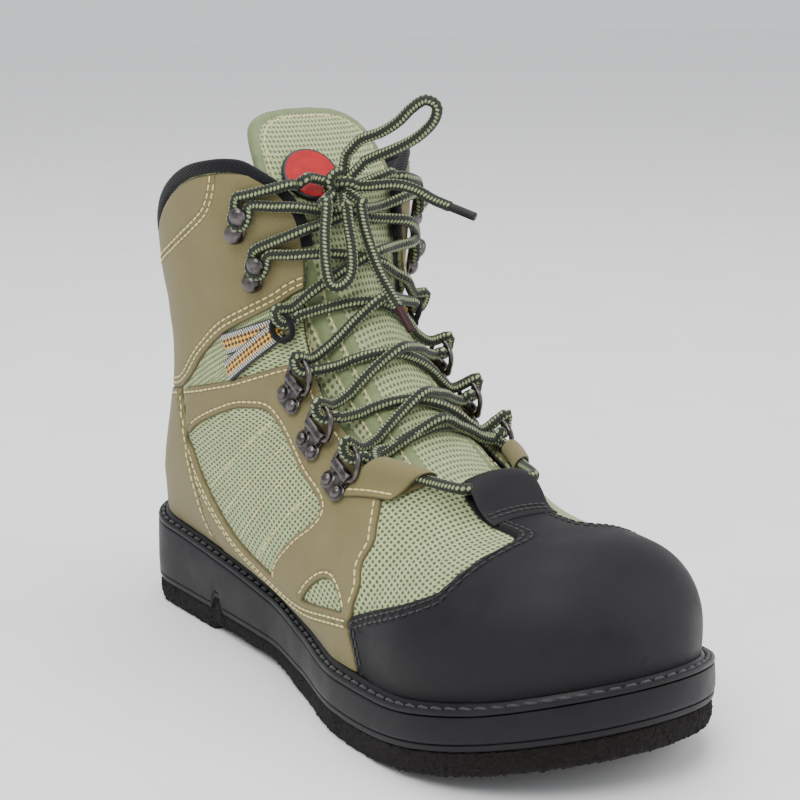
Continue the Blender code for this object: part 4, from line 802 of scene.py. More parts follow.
def sweep(name, stations, section, closeEnds=True, values=None, smoothAngle=60.0):
    # section (across, out) swept along stations (point, across, out); it may be a function of the share
    verts, faces, uvs = [], [], []
    run = 0.0
    previous = None
    count = len(stations)
    for number, (point, across, out) in enumerate(stations):
        shape = section(number / (count - 1)) if callable(section) else section
        if previous is not None:
            run += (point - previous).length
        previous = point
        around = 0.0
        for k, (a, b) in enumerate(shape):
            verts.append(point + across * a + out * b)
            around += math.hypot(a - shape[k - 1][0], b - shape[k - 1][1]) if k else 0.0
            uvs.append((run / mm, around / mm))
    size = len(shape)
    for i in range(count - 1):
        for k in range(size):
            j = (k + 1) % size
            faces.append((i * size + k, i * size + j, (i + 1) * size + j, (i + 1) * size + k))
    if closeEnds:
        faces.append(tuple(range(size))[::-1])
        faces.append(tuple(range((count - 1) * size, count * size)))
    return finishMesh(name, verts, faces, values, uvs, smoothAngle)


bindingSettings = {"width": 0.0056, "thickness": 0.0042, "lift": -0.0003, "gap": 0.0002, "fromRow": 9.9}


def bindingRoute():
    rows = list(np.linspace(bindingSettings["fromRow"], collarRow, 40)[:-1])
    route = []
    for side in (-1, 1):
        leg = [(row, float(throatTurn(row, side)), side) for row in rows]
        end = float(throatTurn(collarRow, side))
        leg += [(collarRow, float(t), side) for t in np.linspace(end, 0, 64)]
        route += leg if side < 0 else leg[:-1][::-1]
    return route


def edgeStations(route):
    points = [Vector(lastPoint(*stop)) for stop in route]
    # the corner between throat and collar is rounded off
    for _ in range(3):
        points = [points[0]] + [(a + b * 2 + c) / 4 for a, b,
                                c in zip(points, points[1:], points[2:])] + [points[-1]]
    stations = []
    for i, (row, turn, side) in enumerate(route):
        ahead = (points[min(i + 1, len(points) - 1)] - points[max(i - 1, 0)]).normalized()
        out = lastNormal(min(row, collarRow - 0.02), min(max(turn, 0.03), 1.97), side)
        if turn < 0.03:
            out.y = 0.0
        out = (out - ahead * out.dot(ahead)).normalized()
        stations.append((points[i], ahead.cross(out), out))
    return stations


def makeBinding():
    s = bindingSettings
    shape = []
    for a in np.linspace(0, 2 * math.pi, 21)[:-1]:
        c, q = math.cos(a), math.sin(a)
        shape.append((s["gap"] + s["width"] / 2 + math.copysign(abs(c) ** 0.8, c) * s["width"] / 2 - 0.0012,
                      s["lift"] + math.copysign(abs(q) ** 0.8, q) * s["thickness"] / 2))
    return sweep("collarBinding", edgeStations(bindingRoute()), shape)


tongueSettings = {
    "thickness": 0.0048,
    "clearance": 0.0018,
    "rise": 0.036,
    "widths": ((2.4, 0.010), (2.8, 0.017), (3.2, 0.024), (4.0, 0.031), (5.0, 0.034), (6.0, 0.034),
               (7.0, 0.033), (8.0, 0.032), (9.0, 0.0315), (10.0, 0.032), (11.0, 0.034), (12.1, 0.0355)),
    "top": ((0.0, 0.0, 0.0355), (0.17, 0.20, 0.0350), (0.39, 0.45, 0.0335), (0.64, 0.67, 0.0300),
            (0.83, 0.81, 0.0235), (0.93, 0.88, 0.0160), (0.975, 0.912, 0.0060)),
    "edgeBand": 0.0052,
    "ribs": (0.0165, 0.0222),   # half widths of the piped ribs
    "lowRows": 90,
    "topRows": 42,
    "across": 44,
}


def tongueGrid():
    s = tongueSettings
    stations = [(row, np.zeros(3), float(throughPoints(s["widths"], 1, row)))
                for row in np.linspace(s["widths"][0][0], s["widths"][-1][0], s["lowRows"])]
    table = tuple((k, *entry) for k, entry in enumerate(s["top"]))
    for place in np.linspace(0, len(table) - 1, s["topRows"])[1:]:
        back, up, half = (float(throughPoints(table, c, place)) for c in (1, 2, 3))
        stations.append((s["widths"][-1][0], np.array([-back, 0, up]) * s["rise"], half))
    points, normals, half = [], [], []
    for row, shift, wide in stations:
        line, normal = [], []
        for k in np.linspace(-1, 1, s["across"] + 1):
            y = wide * k
            side = -1 if y < 0 else 1
            turn = float(turnAt(row, y))
            n = lastNormal(row, min(turn, 1.99), side)
            if abs(k) < 1e-6:
                n = Vector((n.x, 0, n.z)).normalized()
            line.append(lastPoint(row, turn, side) + shift)
            normal.append(tuple(n))
        points.append(line)
        normals.append(normal)
        half.append(wide)
    points, normals = np.array(points), np.array(normals)
    return points, normals, np.array(half)


def tongueRibs(along, y):
    # two piped ribs run up each side, from the vamp to below the collar
    fade = easeBetween(along, 0.012, 0.022) * (1 - easeBetween(along, 0.128, 0.142))
    total = np.zeros(y.shape)
    for place in tongueSettings["ribs"]:
        total += np.clip(1.6 * np.exp(-((np.abs(y) - place) / 0.0017) ** 2), 0, 1)
    return total * fade[:, None]


def tongueSurface():
    # outer and inner faces of the padded tongue, and the distance to its rim
    s = tongueSettings
    points, normals, half = tongueGrid()
    m = points.shape[1]
    along = np.concatenate([[0], np.cumsum(np.linalg.norm(np.diff(points[:, m // 2], axis=0), axis=1))])
    y = np.linspace(-1, 1, m)[None, :] * half[:, None]
    # the rim is measured to the outline itself, which rounds the top
    outline = np.concatenate([np.stack([along, half], -1), [[along[-1], 0.0]]])
    gap, _, _ = lineDistance(outline, np.tile(along[:, None], (1, m)), np.abs(y))
    rim = np.minimum(gap, along[:, None] + 0.004)
    roll = np.sqrt(np.clip(1 - (1 - np.clip(rim / 0.0026, 0, 1)) ** 2, 0, 1))
    soft = easeBetween(rim, 0.006, 0.016) * 0.0008
    groove = 0.0005 * np.exp(-((rim - s["edgeBand"]) / 0.0009) ** 2)
    rib = tongueRibs(along, y)
    middle = s["clearance"] + boot["wall"] + s["thickness"] / 2
    lift = -middle + (s["thickness"] / 2) * roll + soft * 0.4 - groove + rib * 0.0009
    outer = points + normals * lift[:, :, None]
    inner = points + normals * (-middle - (s["thickness"] / 2) * roll)[:, :, None]
    return outer, inner, rim, along, y, rib, normals


tongueShape = tongueSurface()


def makeTongue():
    outer, inner, rim, along, y, rib, _ = tongueShape
    n, m = rim.shape
    verts = list(outer.reshape(-1, 3)) + list(inner.reshape(-1, 3))
    faces = []
    for i in range(n - 1):
        for j in range(m - 1):
            a, b, c, d = (i * m + j, i * m + j + 1, (i + 1) * m + j + 1, (i + 1) * m + j)
            faces.append((a, b, c, d))
            faces.append((n * m + d, n * m + c, n * m + b, n * m + a))
    border = [(0, j) for j in range(m)] + [(i, m - 1) for i in range(1, n)]
    border += [(n - 1, j) for j in range(m - 2, -1, -1)] + [(i, 0) for i in range(n - 2, 0, -1)]
    index = [i * m + j for i, j in border]
    for a, b in zip(index, index[1:] + index[:1]):
        faces.append((a, b, n * m + b, n * m + a))
    uvs = np.stack([np.tile(along[:, None], (1, m)), y], -1).reshape(-1, 2) / mm
    values = {"rib": list(rib.ravel()) * 2, "edge": list(rim.ravel() / mm) * 2,
              "seam": list((np.abs(rim - tongueSettings["edgeBand"]) / mm).ravel()) * 2}
    return finishMesh("tonguePad", verts, faces, values, list(uvs) * 2, 60.0)


# places on the upper

def formTree():
    verts, faces = [], []
    for side in (-1, 1):
        points = grids[side]["points"]
        n, m = points.shape[:2]
        start = len(verts)
        verts += [Vector(p) for p in points.reshape(-1, 3)]
        for i in range(n - 1):
            for j in range(m - 1):
                k = start + i * m + j
                faces.append((k, k + 1, k + m + 1, k + m))
    return BVHTree.FromPolygons(verts, faces)


form = formTree()


def seat(along, up, side):
    # frame on the last's side: X along the eyestay, Y towards the throat, Z out
    point, normal, _, _ = form.ray_cast(Vector((along * length, 0.2 * side, up * height)),
                                        Vector((0, -side, 0)))
    if normal.y * side < 0:
        normal = -normal
    toe = Vector((0.89, 0, -0.45))
    xAxis = (toe - normal * toe.dot(normal)).normalized() * -side
    matrix = Matrix((xAxis, normal.cross(xAxis), normal)).transposed().to_4x4()
    matrix.translation = point
    return matrix


def toOrigin(matrix):
    return Matrix.Translation((-boot["heelRest"], 0, 0)) @ matrix


# modelling helpers

def addPrimitive(kind, **settings):
    bpy.ops.object.select_all(action="DESELECT")
    getattr(bpy.ops.mesh, "primitive_" + kind + "_add")(**settings)
    piece = bpy.context.object
    bpy.ops.object.transform_apply(location=True, rotation=True, scale=True)
    return piece


def applyModifier(piece, kind, **settings):
    bpy.ops.object.select_all(action="DESELECT")
    bpy.context.view_layer.objects.active = piece
    piece.select_set(True)
    modifier = piece.modifiers.new(kind.lower(), kind)
    for name, value in settings.items():
        setattr(modifier, name, value)
    bpy.ops.object.modifier_apply(modifier=modifier.name)
    return piece


def joined(pieces, name):
    bpy.ops.object.select_all(action="DESELECT")
    for piece in pieces:
        piece.select_set(True)
    bpy.context.view_layer.objects.active = pieces[0]
    if len(pieces) > 1:
        bpy.ops.object.join()
    pieces[0].name = name
    bpy.ops.object.shade_smooth_by_angle(angle=math.radians(40))
    return pieces[0]


def copyTo(model, name, matrix):
    piece = model.copy()
    piece.data = model.data.copy()
    piece.data.transform(toOrigin(matrix))
    piece.name = name
    bpy.context.collection.objects.link(piece)
    return piece


def smoothRoute(points, step=0.0015, closed=False):
    # curve through points, sampled evenly
    fine = roundedLine([tuple(p) for p in points], closed, 14)
    if closed:
        fine = np.concatenate([fine, fine[:1]])
    run = np.concatenate([[0], np.cumsum(np.linalg.norm(np.diff(fine, axis=0), axis=1))])
    count = max(int(run[-1] / step), 4)
    at = np.linspace(0, run[-1], count + 1)
    even = np.stack([np.interp(at, run, fine[:, k]) for k in range(3)], -1)
    return even[:-1] if closed else even


def tubeMesh(name, route, radius, sides=14, closed=False, flat=1.0, wobble=0.0):
    # round tube along a route, with the weave map in mm along and around
    verts, faces, uvs = [], [], []
    count = len(route)
    out = None
    run = 0.0
    for i, point in enumerate(route):
        ahead = Vector(route[(i + 1) % count] - route[i - 1]) if closed else Vector(
            route[min(i + 1, count - 1)] - route[max(i - 1, 0)])
        ahead.normalize()
        if out is None:
            out = Vector((0, 0, 1)) if abs(ahead.z) < 0.8 else Vector((1, 0, 0))
        out = (out - ahead * out.dot(ahead)).normalized()
        across = ahead.cross(out)
        run += np.linalg.norm(route[i] - route[i - 1]) if i else 0.0
        r = radius(i / (count - 1)) if callable(radius) else radius
        for k in range(sides + 1):
            a = 2 * math.pi * k / sides
            rr = r * (1 + wobble * math.sin(run / mm * 2.4 + 3 * a))
            verts.append(Vector(point) + out * math.cos(a) * rr * flat + across * math.sin(a) * rr)
            uvs.append((run / mm, k / sides * 2 * math.pi * boot["laceDiameter"] / 2 / mm))
    ring = sides + 1
    for i in range(count if closed else count - 1):
        j = (i + 1) % count
        for k in range(sides):
            faces.append((i * ring + k, i * ring + k + 1, j * ring + k + 1, j * ring + k))
    if not closed:
        faces.append(tuple(range(sides))[::-1])
        faces.append(tuple((count - 1) * ring + k for k in range(sides)))
    return finishMesh(name, verts, faces, None, uvs, 50.0)


# stitches

def contourLines(grid, field, level, keep):
    n, m = field.shape
    values = (field - level).ravel()
    usable = keep.ravel()
    links = {}
    places = {}
    for i in range(n - 1):
        for j in range(m - 1):
            quad = (i * m + j, i * m + j + 1, (i + 1) * m + j + 1, (i + 1) * m + j)
            if not any(usable[k] for k in quad):
                continue
            marks = []
            for k in range(4):
                a, b = sorted((quad[k], quad[(k + 1) % 4]))
                if (values[a] > 0) != (values[b] > 0):
                    t = values[a] / (values[a] - values[b])
                    if usable[a] * (1 - t) + usable[b] * t >= 0.5:
                        marks.append((a, b))
                        places[(a, b)] = t
            if len(marks) == 2:
                links.setdefault(marks[0], []).append(marks[1])
                links.setdefault(marks[1], []).append(marks[0])
    points, normals = grid["points"].reshape(-1, 3), grid["normals"].reshape(-1, 3)
    lines = []
    left = set(links)
    for start in sorted(links, key=lambda key: len(links[key])):
        if start not in left:
            continue
        chain = [start]
        left.discard(start)
        while True:
            ahead = [k for k in links[chain[-1]] if k in left]
            if not ahead:
                break
            chain.append(ahead[0])
            left.discard(ahead[0])
        if len(chain) > 3:
            lines.append([(points[a] * (1 - places[(a, b)]) + points[b] * places[(a, b)],
                           normals[a] * (1 - places[(a, b)]) + normals[b] * places[(a, b)]) for a,
                           b in chain])
    return lines


def treeOf(pieces):
    # one tree over finished pieces, in coordinates from the back of the sole
    verts, faces = [], []
    for piece in pieces:
        start = len(verts)
        verts += [v.co + Vector((boot["heelRest"], 0, 0)) for v in piece.data.vertices]
        faces += [[start + k for k in p.vertices] for p in piece.data.polygons]
    return BVHTree.FromPolygons(verts, faces)


class StitchBox:
    # collects stitches of one thread and makes them one mesh
    def __init__(self, name, long, thick):
        self.name, self.long, self.thick = name, long, thick
        self.verts, self.faces = [], []

    def add(self, centre, ahead, out):
        ahead = (ahead - out * ahead.dot(out)).normalized()
        across = ahead.cross(out)
        start = len(self.verts)
        for share, size in ((-1, 0.30), (-0.62, 0.92), (0.62, 0.92), (1, 0.30)):
            drop = 0.22 if abs(share) == 1 else 0.0
            for k in range(6):
                a = 2 * math.pi * k / 6
                self.verts.append(centre + ahead * (self.long / 2 * share)
                                  + across * (math.cos(a) * self.thick / 2 * size)
                                  + out * ((math.sin(a) * size * 0.8 - drop + 0.25) * self.thick / 2))
        for ring in range(3):
            for k in range(6):
                a, b = start + ring * 6 + k, start + ring * 6 + (k + 1) % 6
                self.faces.append((a, b, b + 6, a + 6))
        self.faces.append(tuple(start + k for k in range(6))[::-1])
        self.faces.append(tuple(start + 18 + k for k in range(6)))

    def along(self, line, tree, pitch, skip=0.0):
        points = np.array([p for p, _ in line])
        normals = np.array([n for _, n in line])
        run = np.concatenate([[0], np.cumsum(np.linalg.norm(np.diff(points, axis=0), axis=1))])
        if run[-1] < pitch * 1.5:
            return
        for at in np.arange(pitch / 2 + skip, run[-1] - pitch / 3, pitch):
            centre = Vector([np.interp(at, run, points[:, k]) for k in range(3)])
            before = Vector([np.interp(at - 0.0008, run, points[:, k]) for k in range(3)])
            after = Vector([np.interp(at + 0.0008, run, points[:, k]) for k in range(3)])
            out = Vector([np.interp(at, run, normals[:, k]) for k in range(3)]).normalized()
            hit = tree.ray_cast(centre + out * 0.012, -out, 0.02) if tree else (None,)
            if tree and hit[0] is None:
                continue
            self.add(hit[0] if tree else centre, after - before, out)

    def finish(self):
        return finishMesh(self.name, self.verts, self.faces, None, None, 80.0)


stitchSettings = {"pitch": 0.0036, "long": 0.0029, "thick": 0.0009, "blackPitch": 0.0036,
                  "sewnPitch": 0.0030,      # tab and straps
                  "weltPitch": 0.0060, "weltLong": 0.0050, "weltThick": 0.0017,
                  "weltInset": 0.0022, "weltHeelInset": 0.0010, "weltRise": 0.0021}


def sewUpper(cream, black, tree):
    pitch = stitchSettings["pitch"]
    offset, pair = seams["offset"], seams["pair"]
    for side in (-1, 1):
        grid = grids[side]
        x, z = grid["points"][:, :, 0], grid["points"][:, :, 2]
        quarter = quarterField(grid, x, z)
        cuff = cuffField(grid, x, z)
        cap = capField(grid, x, z)
        counter = counterField(grid, x, z)
        high = z - featherHeight(x)
        rim = grid["v"].max(axis=1)[:, None] - grid["v"]
        throat = (grid["rows"] > 3.5) & (grid["rows"] < 9.5)
        jobs = []
        for line, rows, mask in ((randLine, (-offset, -offset - pair), (quarter > 0.001) & (high > 0.002)),
                                 (decoLine, (pair / 2, -pair / 2), cuff > 0.001),
                                 (cuffLine, (offset, offset + pair), cuff > 0.0002),
                                 (quarterTopLine, (-offset,), quarter > 0.001),
                                 (strapLine, (offset,), quarter > 0.0005)):
            gap, sign, middle = lineDistance(line, x, z)
            for row in rows:
                jobs.append((gap * sign, row, mask & middle))
        above = aboveRand(x, z)
        for outline in (windowLine, cornerLine):
            jobs.append((-insideDistance(outline, x, z), offset, (quarter > 0.0005) & (above > 0.0002)))
        jobs.append((counter, offset,
                     (counter > 0) & (high > 0.006) & (z < 0.50 * height) & (x > 0.12 * length)))
        jobs.append((rim, 0.0030, throat & (quarter > 0.001)))
        for ends in seams["windowRows"]:
            gap, sign, middle = lineDistance(sideLine(ends), x, z)
            jobs.append((gap * sign, 0.0,
                         middle & (insideDistance(windowLine, x, z) > -0.0006) & (above > 0.0002)))
        for field, level, mask in jobs:
            for line in contourLines(grid, field, level, mask):
                cream.along(line, tree, pitch)
        for row in (offset, offset + pair):
            for line in contourLines(grid, cap, row, (cap > 0.0002) & (high > 0.003)):
                black.along(line, tree, stitchSettings["blackPitch"])


def sewTongue(cream):
    outer, _, rim, along, y, _, normals = tongueShape
    grid = {"points": outer, "normals": normals}
    high = np.tile((along > 0.100)[:, None], (1, rim.shape[1]))
    low = np.tile(((along > 0.020) & (along < 0.132))[:, None], (1, rim.shape[1]))
    for line in contourLines(grid, rim, tongueSettings["edgeBand"] + 0.0013, high):
        cream.along(line, None, stitchSettings["pitch"])
    for place in tongueSettings["ribs"]:
        for level in (-place - 0.0024, place + 0.0024):
            for line in contourLines(grid, y, level, low):
                cream.along(line, None, stitchSettings["pitch"])


def sewStraps(cream, pieces):
    tree = treeOf(pieces)
    (rowA, yA), (rowB, yB) = laceSettings["strapEnds"]
    for side in (-1, 1):
        line = []
        for s in np.linspace(-0.04, 1.04, 12):
            row = rowA + (rowB - rowA) * s + laceSettings["strapSeam"] * laceSettings["strapRowsAMetre"]
            y = yA + (yB - yA) * s + laceSettings["strapSeam"]
            normal = lastNormal(row, float(turnAt(row, y * side)), side)
            line.append((np.array(over(row, y * side, 0.003)), np.array(normal)))
        cream.along(line, tree, stitchSettings["sewnPitch"])


def sewTab(black, tab):
    tree = treeOf([tab])
    for d in (0.0165, 0.0190):
        line = []
        row = laceSettings["tabRow"] - d / laceSettings["tabRowLength"]
        for y in np.linspace(-0.0135, 0.0135, 14):
            normal = lastNormal(row, float(turnAt(row, y if y else 1e-4)), -1 if y < 0 else 1)
            line.append((np.array(over(row, y, 0.004)), np.array(normal)))
        black.along(line, tree, stitchSettings["sewnPitch"])


def sewWelt(box):
    # the thick lock stitch in the welt's groove
    inset, heel = stitchSettings["weltInset"], stitchSettings["weltHeelInset"]
    x = heel + (length - inset - heel) * (1 - np.cos(np.linspace(0, math.pi, 400))) / 2
    outer, inner = soleSides(x, inset, heel)
    z = rubberTop(x) + stitchSettings["weltRise"]
    line = [(np.array((a, b, c)), np.array((0, 0, 1.0))) for a, b, c in zip(x, outer, z)]
    line += [(np.array((a, b, c)), np.array((0, 0, 1.0))) for a, b, c in list(zip(x, inner, z))[::-1]]
    box.along(line, None, stitchSettings["weltPitch"])


# laces

laceSettings = {
    "clearance": 0.0009,
    "climb": 0.0075,
    "overTongue": -0.00045,
    "overPanels": 0.00465,
    "cross": 0.0044,          # how far one lace rises over the other
    "stops": (0.0, 0.09, 0.18, 0.32, 0.5, 0.68, 0.82, 0.91, 1.0),
    "levels": (("ring", 0.5535, 0.431), ("ring", 0.4865, 0.488), ("ring", 0.4260, 0.560),
               ("webbing", 0.378, 0.682),
               ("hook", 0.3420, 0.788), ("hook", 0.3300, 0.887)),
    "strapEnds": ((3.72, 0.0285), (3.24, 0.0215)),
    "strapRise": 0.0051,
    "tabRow": 2.70,
    "tabRowLength": 0.035,    # metres along the boot for one row, at the tab
    "strapRowsAMetre": 13,    # rows for one metre along the boot, at the straps
    "strapSeam": 0.0098,      # from the roll back to its stitches
    "topBarEnd": (12.45, 0.0200, 0.0050),
    "knotAt": (0.1265, -0.0060, 0.1980),
    "knotSize": (0.0140, 0.0165, 0.0145),
    "knotLead": 0.0045,
    "aglet": 0.012,
}
barrelAt, barrelRise, ringRadius, ringWire, hookAt = 0.0072, 0.0046, 0.0066, 0.0022, 0.0085
webbingRing = {"radius": 0.0058, "wire": 0.0026, "shift": 0.0032}
ringReach = barrelAt + 0.0038 + ringRadius
tilt = 0.0030                 # how far the rings' free ends stand off the upper

loopUp = ((0.1275, -0.0030, 0.2115), (0.1325, 0.0000, 0.2170), (0.1395, 0.0045, 0.2200),
          (0.1460, 0.0085, 0.2245),
          (0.1500, 0.0125, 0.2300), (0.1540, 0.0165, 0.2335), (0.1570, 0.0200, 0.2310),
          (0.1555, 0.0195, 0.2250),
          (0.1510, 0.0155, 0.2190), (0.1450, 0.0105, 0.2145), (0.1340, 0.0015, 0.2085))
endRight = ((0.1350, 0.0030, 0.1983), (0.1430, 0.0105, 0.1990), (0.1490, 0.0160, 0.1970),
            (0.1550, 0.0200, 0.1935),
            (0.1610, 0.0240, 0.1910))
loopDown = ((11.20, -.0150, .0100), (10.20, -.0165, .0090), (9.10, -.0165, .0090), (8.15, -.0155, .0085),
            (7.80, -.0125, .0075), (8.20, -.0092, .0070), (9.20, -.0080, .0070), (10.30, -.0080, .0078),
            (11.05, -.0080, .0095))
endDown = ((11.00, -.0022, .0100), (10.20, -.0018, .0072), (9.20, -.0012, .0064), (8.00, -.0002, .0064),
           (6.90, .0010, .0064), (6.20, .0020, .0064))
exits = {"loopUp": ((0, .20, .98), (.50, .50, .70)), "loopDown": ((.20, -.85, -.49), (.62, -.30, -.72)),
         "endRight": ((.68, .72, .02),), "endDown": ((.78, .35, -.52),),
         "topBars": ((-.45, -.85, .27), (-.35, .93, -.05))}


def rowUnder(point):
    rows = np.linspace(3, collarRow, 201)
    places = lastPoint(rows, turnAt(rows, point.y), -1 if point.y < 0 else 1)
    return rows[int(np.argmin(np.linalg.norm(places - np.array(point), axis=1)))]


def laceRise(row, y):
    s = laceSettings
    edge = float(lastColumn("throat", row)) * ball
    if row > 9:
        edge -= 0.0057
    share = float(easeBetween(abs(y), edge - s["climb"], edge - 0.001))
    return s["overTongue"] + (s["overPanels"] - s["overTongue"]) * share


def laceEnd(level, side, upward):
    s = laceSettings
    if level == 0:
        row, y = s["strapEnds"][0]
        return row + 0.22, y * side * 0.94
    shift = (boot["laceDiameter"] / 2 + s["clearance"] + 0.0003) * (1 if upward else -1) * side
    kind, along, up = s["levels"][level - 1]
    reach = {"ring": ringReach + 0.0018 + 0.0008, "hook": hookAt + 0.0042 + 0.0014,
             "webbing": webbingRing["shift"] + webbingRing["radius"] + webbingRing["wire"]}[kind]
    point = seat(along, up, side) @ Vector((shift, reach, 0.0))
    return float(rowUnder(point)), point.y


def lacePath(start, end, high):
    points = []
    for t in laceSettings["stops"]:
        row = start[0] + (end[0] - start[0]) * t
        y = start[1] + (end[1] - start[1]) * t
        bump = laceSettings["cross"] * math.exp(-((t - 0.5) / 0.13) ** 2) if high else 0.0
        points.append(over(row, y, laceRise(row, y) + bump))
    return points


def turnAround(level, side):
    # the lace comes in under the wire, up through the opening and back over it; or round a hook's stem
    kind, along, up = laceSettings["levels"][level - 1]
    matrix = seat(along, up, side)
    shift = (boot["laceDiameter"] / 2 + laceSettings["clearance"] + 0.0003) * side
    if kind == "hook":
        stops = [(-shift * 0.95, hookAt + 0.001, 0.0049), (-shift * 0.8, hookAt - 0.0032, 0.0050),
                 (0, hookAt - 0.0047, 0.0051),
                 (shift * 0.8, hookAt - 0.0032, 0.0050), (shift * 0.95, hookAt + 0.001, 0.0049)]
    else:
        y, rise = (ringReach, barrelRise + tilt) if kind == "ring" else (
            webbingRing["shift"] + webbingRing["radius"], 0.0023 + 0.0016 + tilt)
        stops = [(-shift * 0.9, y + 0.0002, rise - 0.0034), (-shift * 0.6, y - 0.0030, rise - 0.0018),
                 (-shift * 0.1, y - 0.0042, rise + 0.0004), (shift * 0.5, y - 0.0030, rise + 0.0026),
                 (shift * 0.85, y + 0.0002, rise + 0.0036)]
    return [matrix @ Vector(stop) for stop in stops]


def tabFrame():
    foot = over(laceSettings["tabRow"], 0.0, 0.0)
    toe = (over(laceSettings["tabRow"] - 0.2, 0.0, 0.0) - foot).normalized()
    toe.y = 0.0
    out = Vector((-toe.z, 0, toe.x)).normalized()
    return foot + out * (0.0038 + 0.0003 + 0.0016), toe, out


def knotExit(direction, deeper=0.0024):
    way = Vector(direction).normalized()
    half = [size / 2 for size in laceSettings["knotSize"]]
    reach = 1 / math.sqrt(sum((way[i] / half[i]) ** 2 for i in range(3)))
    middle = Vector(laceSettings["knotAt"])
    return [middle + way * (reach - deeper), middle + way * (reach + 0.0003 + laceSettings["knotLead"])]


def laceHalf(side):
    # from the toe tab's middle up to the knot, starting on one side
    s = laceSettings
    centre = tabFrame()[0]
    front, back = (over(row, y * side, s["strapRise"]) for row, y in s["strapEnds"][::-1])
    ahead = (front - back).normalized()
    points = [centre, centre + Vector((0, side * 0.009, 0)), centre + Vector((0, side * 0.017, 0)),
              front + ahead * 0.005,
              front, (front + back) / 2, back]
    now = side
    for level in range(6):
        high = (level % 2 == 0) == (side < 0)
        points += lacePath(laceEnd(level, now, True), laceEnd(level + 1, -now, False), high)
        now = -now
        points += turnAround(level + 1, now)
    row, y = laceEnd(6, now, True)
    end = s["topBarEnd"]
    path = lacePath((row, y), (end[0], end[1] * now), False)[:-1]
    path += [over(end[0], end[1] * now, end[2])]
    way = exits["topBars"][0 if now < 0 else 1]
    return points + path + knotExit(way)[::-1]


def wrapKnot():
    # a closed route that wraps three times round the knot's middle
    route = []
    for t in np.linspace(0, 2 * math.pi, 140)[:-1]:
        ring = 0.0037 + 0.0018 * math.cos(3 * t)
        route.append((0.0022 * math.sin(3 * t) + 0.0006 * math.cos(2 * t), ring * math.cos(2 * t) * 1.12,
                      ring * math.sin(2 * t)))
    turn = Matrix.Rotation(math.radians(18), 4, "Y") @ Matrix.Rotation(math.radians(-30), 4, "Z")
    return np.array([tuple(Vector(laceSettings["knotAt"]) + turn @ Vector(p)) for p in route])


def makeCords():
    # the bow's two loops and two ends, each a free cord of its own length
    radius = boot["laceDiameter"] / 2
    routes = {
        "loopUp": knotExit(exits["loopUp"][0]) + [Vector(p)
                                                  for p in loopUp] + knotExit(exits["loopUp"][1])[::-1],
        "loopDown": knotExit(exits["loopDown"][0]) + [over(*p) for p in loopDown]
                    + knotExit(exits["loopDown"][1])[::-1],
        "endRight": knotExit(exits["endRight"][0]) + [Vector(p) for p in endRight],
        "endDown": knotExit(exits["endDown"][0]) + [over(*p) for p in endDown],
    }
    made = {}
    for name, route in routes.items():
        fine = smoothRoute(route)
        made[name] = (tubeMesh("bow" + name[0].upper() + name[1:], fine, radius, 14, False, 1.0, 0.02), fine)
    return made


def makeAglet(name, route):
    end, before = Vector(route[-1]), Vector(route[-4])
    ahead = (end - before).normalized()
    tip = addPrimitive("cylinder", vertices=18, radius=0.0018, depth=laceSettings["aglet"],
                       location=(0, 0, laceSettings["aglet"] / 2))
    bpy.ops.object.mode_set(mode="EDIT")
    bpy.ops.mesh.select_all(action="SELECT")
    bpy.ops.mesh.bevel(offset=0.0006, segments=3, affect="EDGES")
    bpy.ops.object.mode_set(mode="OBJECT")
    matrix = ahead.to_track_quat("Z", "Y").to_matrix().to_4x4()
    matrix.translation = end - ahead * 0.0004
    piece = copyTo(tip, name, matrix)
    bpy.data.objects.remove(tip)
    bpy.ops.object.select_all(action="DESELECT")
    return piece


# metal parts, each modelled once at the origin of its own seat and copied

hardwareSettings = {"base": 0.0023, "plate": 0.0010, "rivet": 0.0034, "barrelRadius": 0.0024,
                    "barrelLength": 0.0125,
                    "hookHead": 0.0042, "hookHeight": 0.0088}


def domed(radius, low, rise, place, segments=22):
    head = addPrimitive("uv_sphere", segments=segments, ring_count=12, radius=1, location=(0, 0, 0))
    for v in head.data.vertices:
        v.co = (place[0] + v.co.x * radius, place[1] + v.co.y * radius, low + max(v.co.z, -0.25) * rise)
    return head


def modelPlate():
    s = hardwareSettings
    base, half = s["base"], s["barrelLength"] / 2 - 0.0006
    front = barrelAt + 0.0004
    plate = addPrimitive("cube", size=1, location=(0, (front - 0.0040) / 2, base + s["plate"] / 2),
                         scale=(2 * half, front + 0.0040, s["plate"]))
    applyModifier(plate, "BEVEL", width=0.0004, segments=3)
    parts = [plate]
    spread = s["rivet"] + 0.0008
    for x in (-spread, spread):
        parts.append(domed(s["rivet"] + 0.0003, base + s["plate"], 0.0007, (x, 0)))
        parts.append(domed(s["rivet"] * 0.80, base + s["plate"] + 0.0003, 0.0021, (x, 0)))
    roll = addPrimitive("cylinder", vertices=28, radius=s["barrelRadius"], depth=s["barrelLength"],
                        location=(0, barrelAt, barrelRise), rotation=(0, math.pi / 2, 0))
    applyModifier(roll, "BEVEL", width=0.0007, segments=3, limit_method="ANGLE")
    parts.append(roll)
    for x in (-s["barrelLength"] * 0.30, s["barrelLength"] * 0.30):
        cheek = addPrimitive("cube", size=1, location=(x, barrelAt - 0.0017, base + 0.0022),
                             scale=(0.0034, 0.0036, 0.0022))
        applyModifier(cheek, "BEVEL", width=0.0006, segments=2)
        parts.append(cheek)
    return joined(parts, "plateModel")


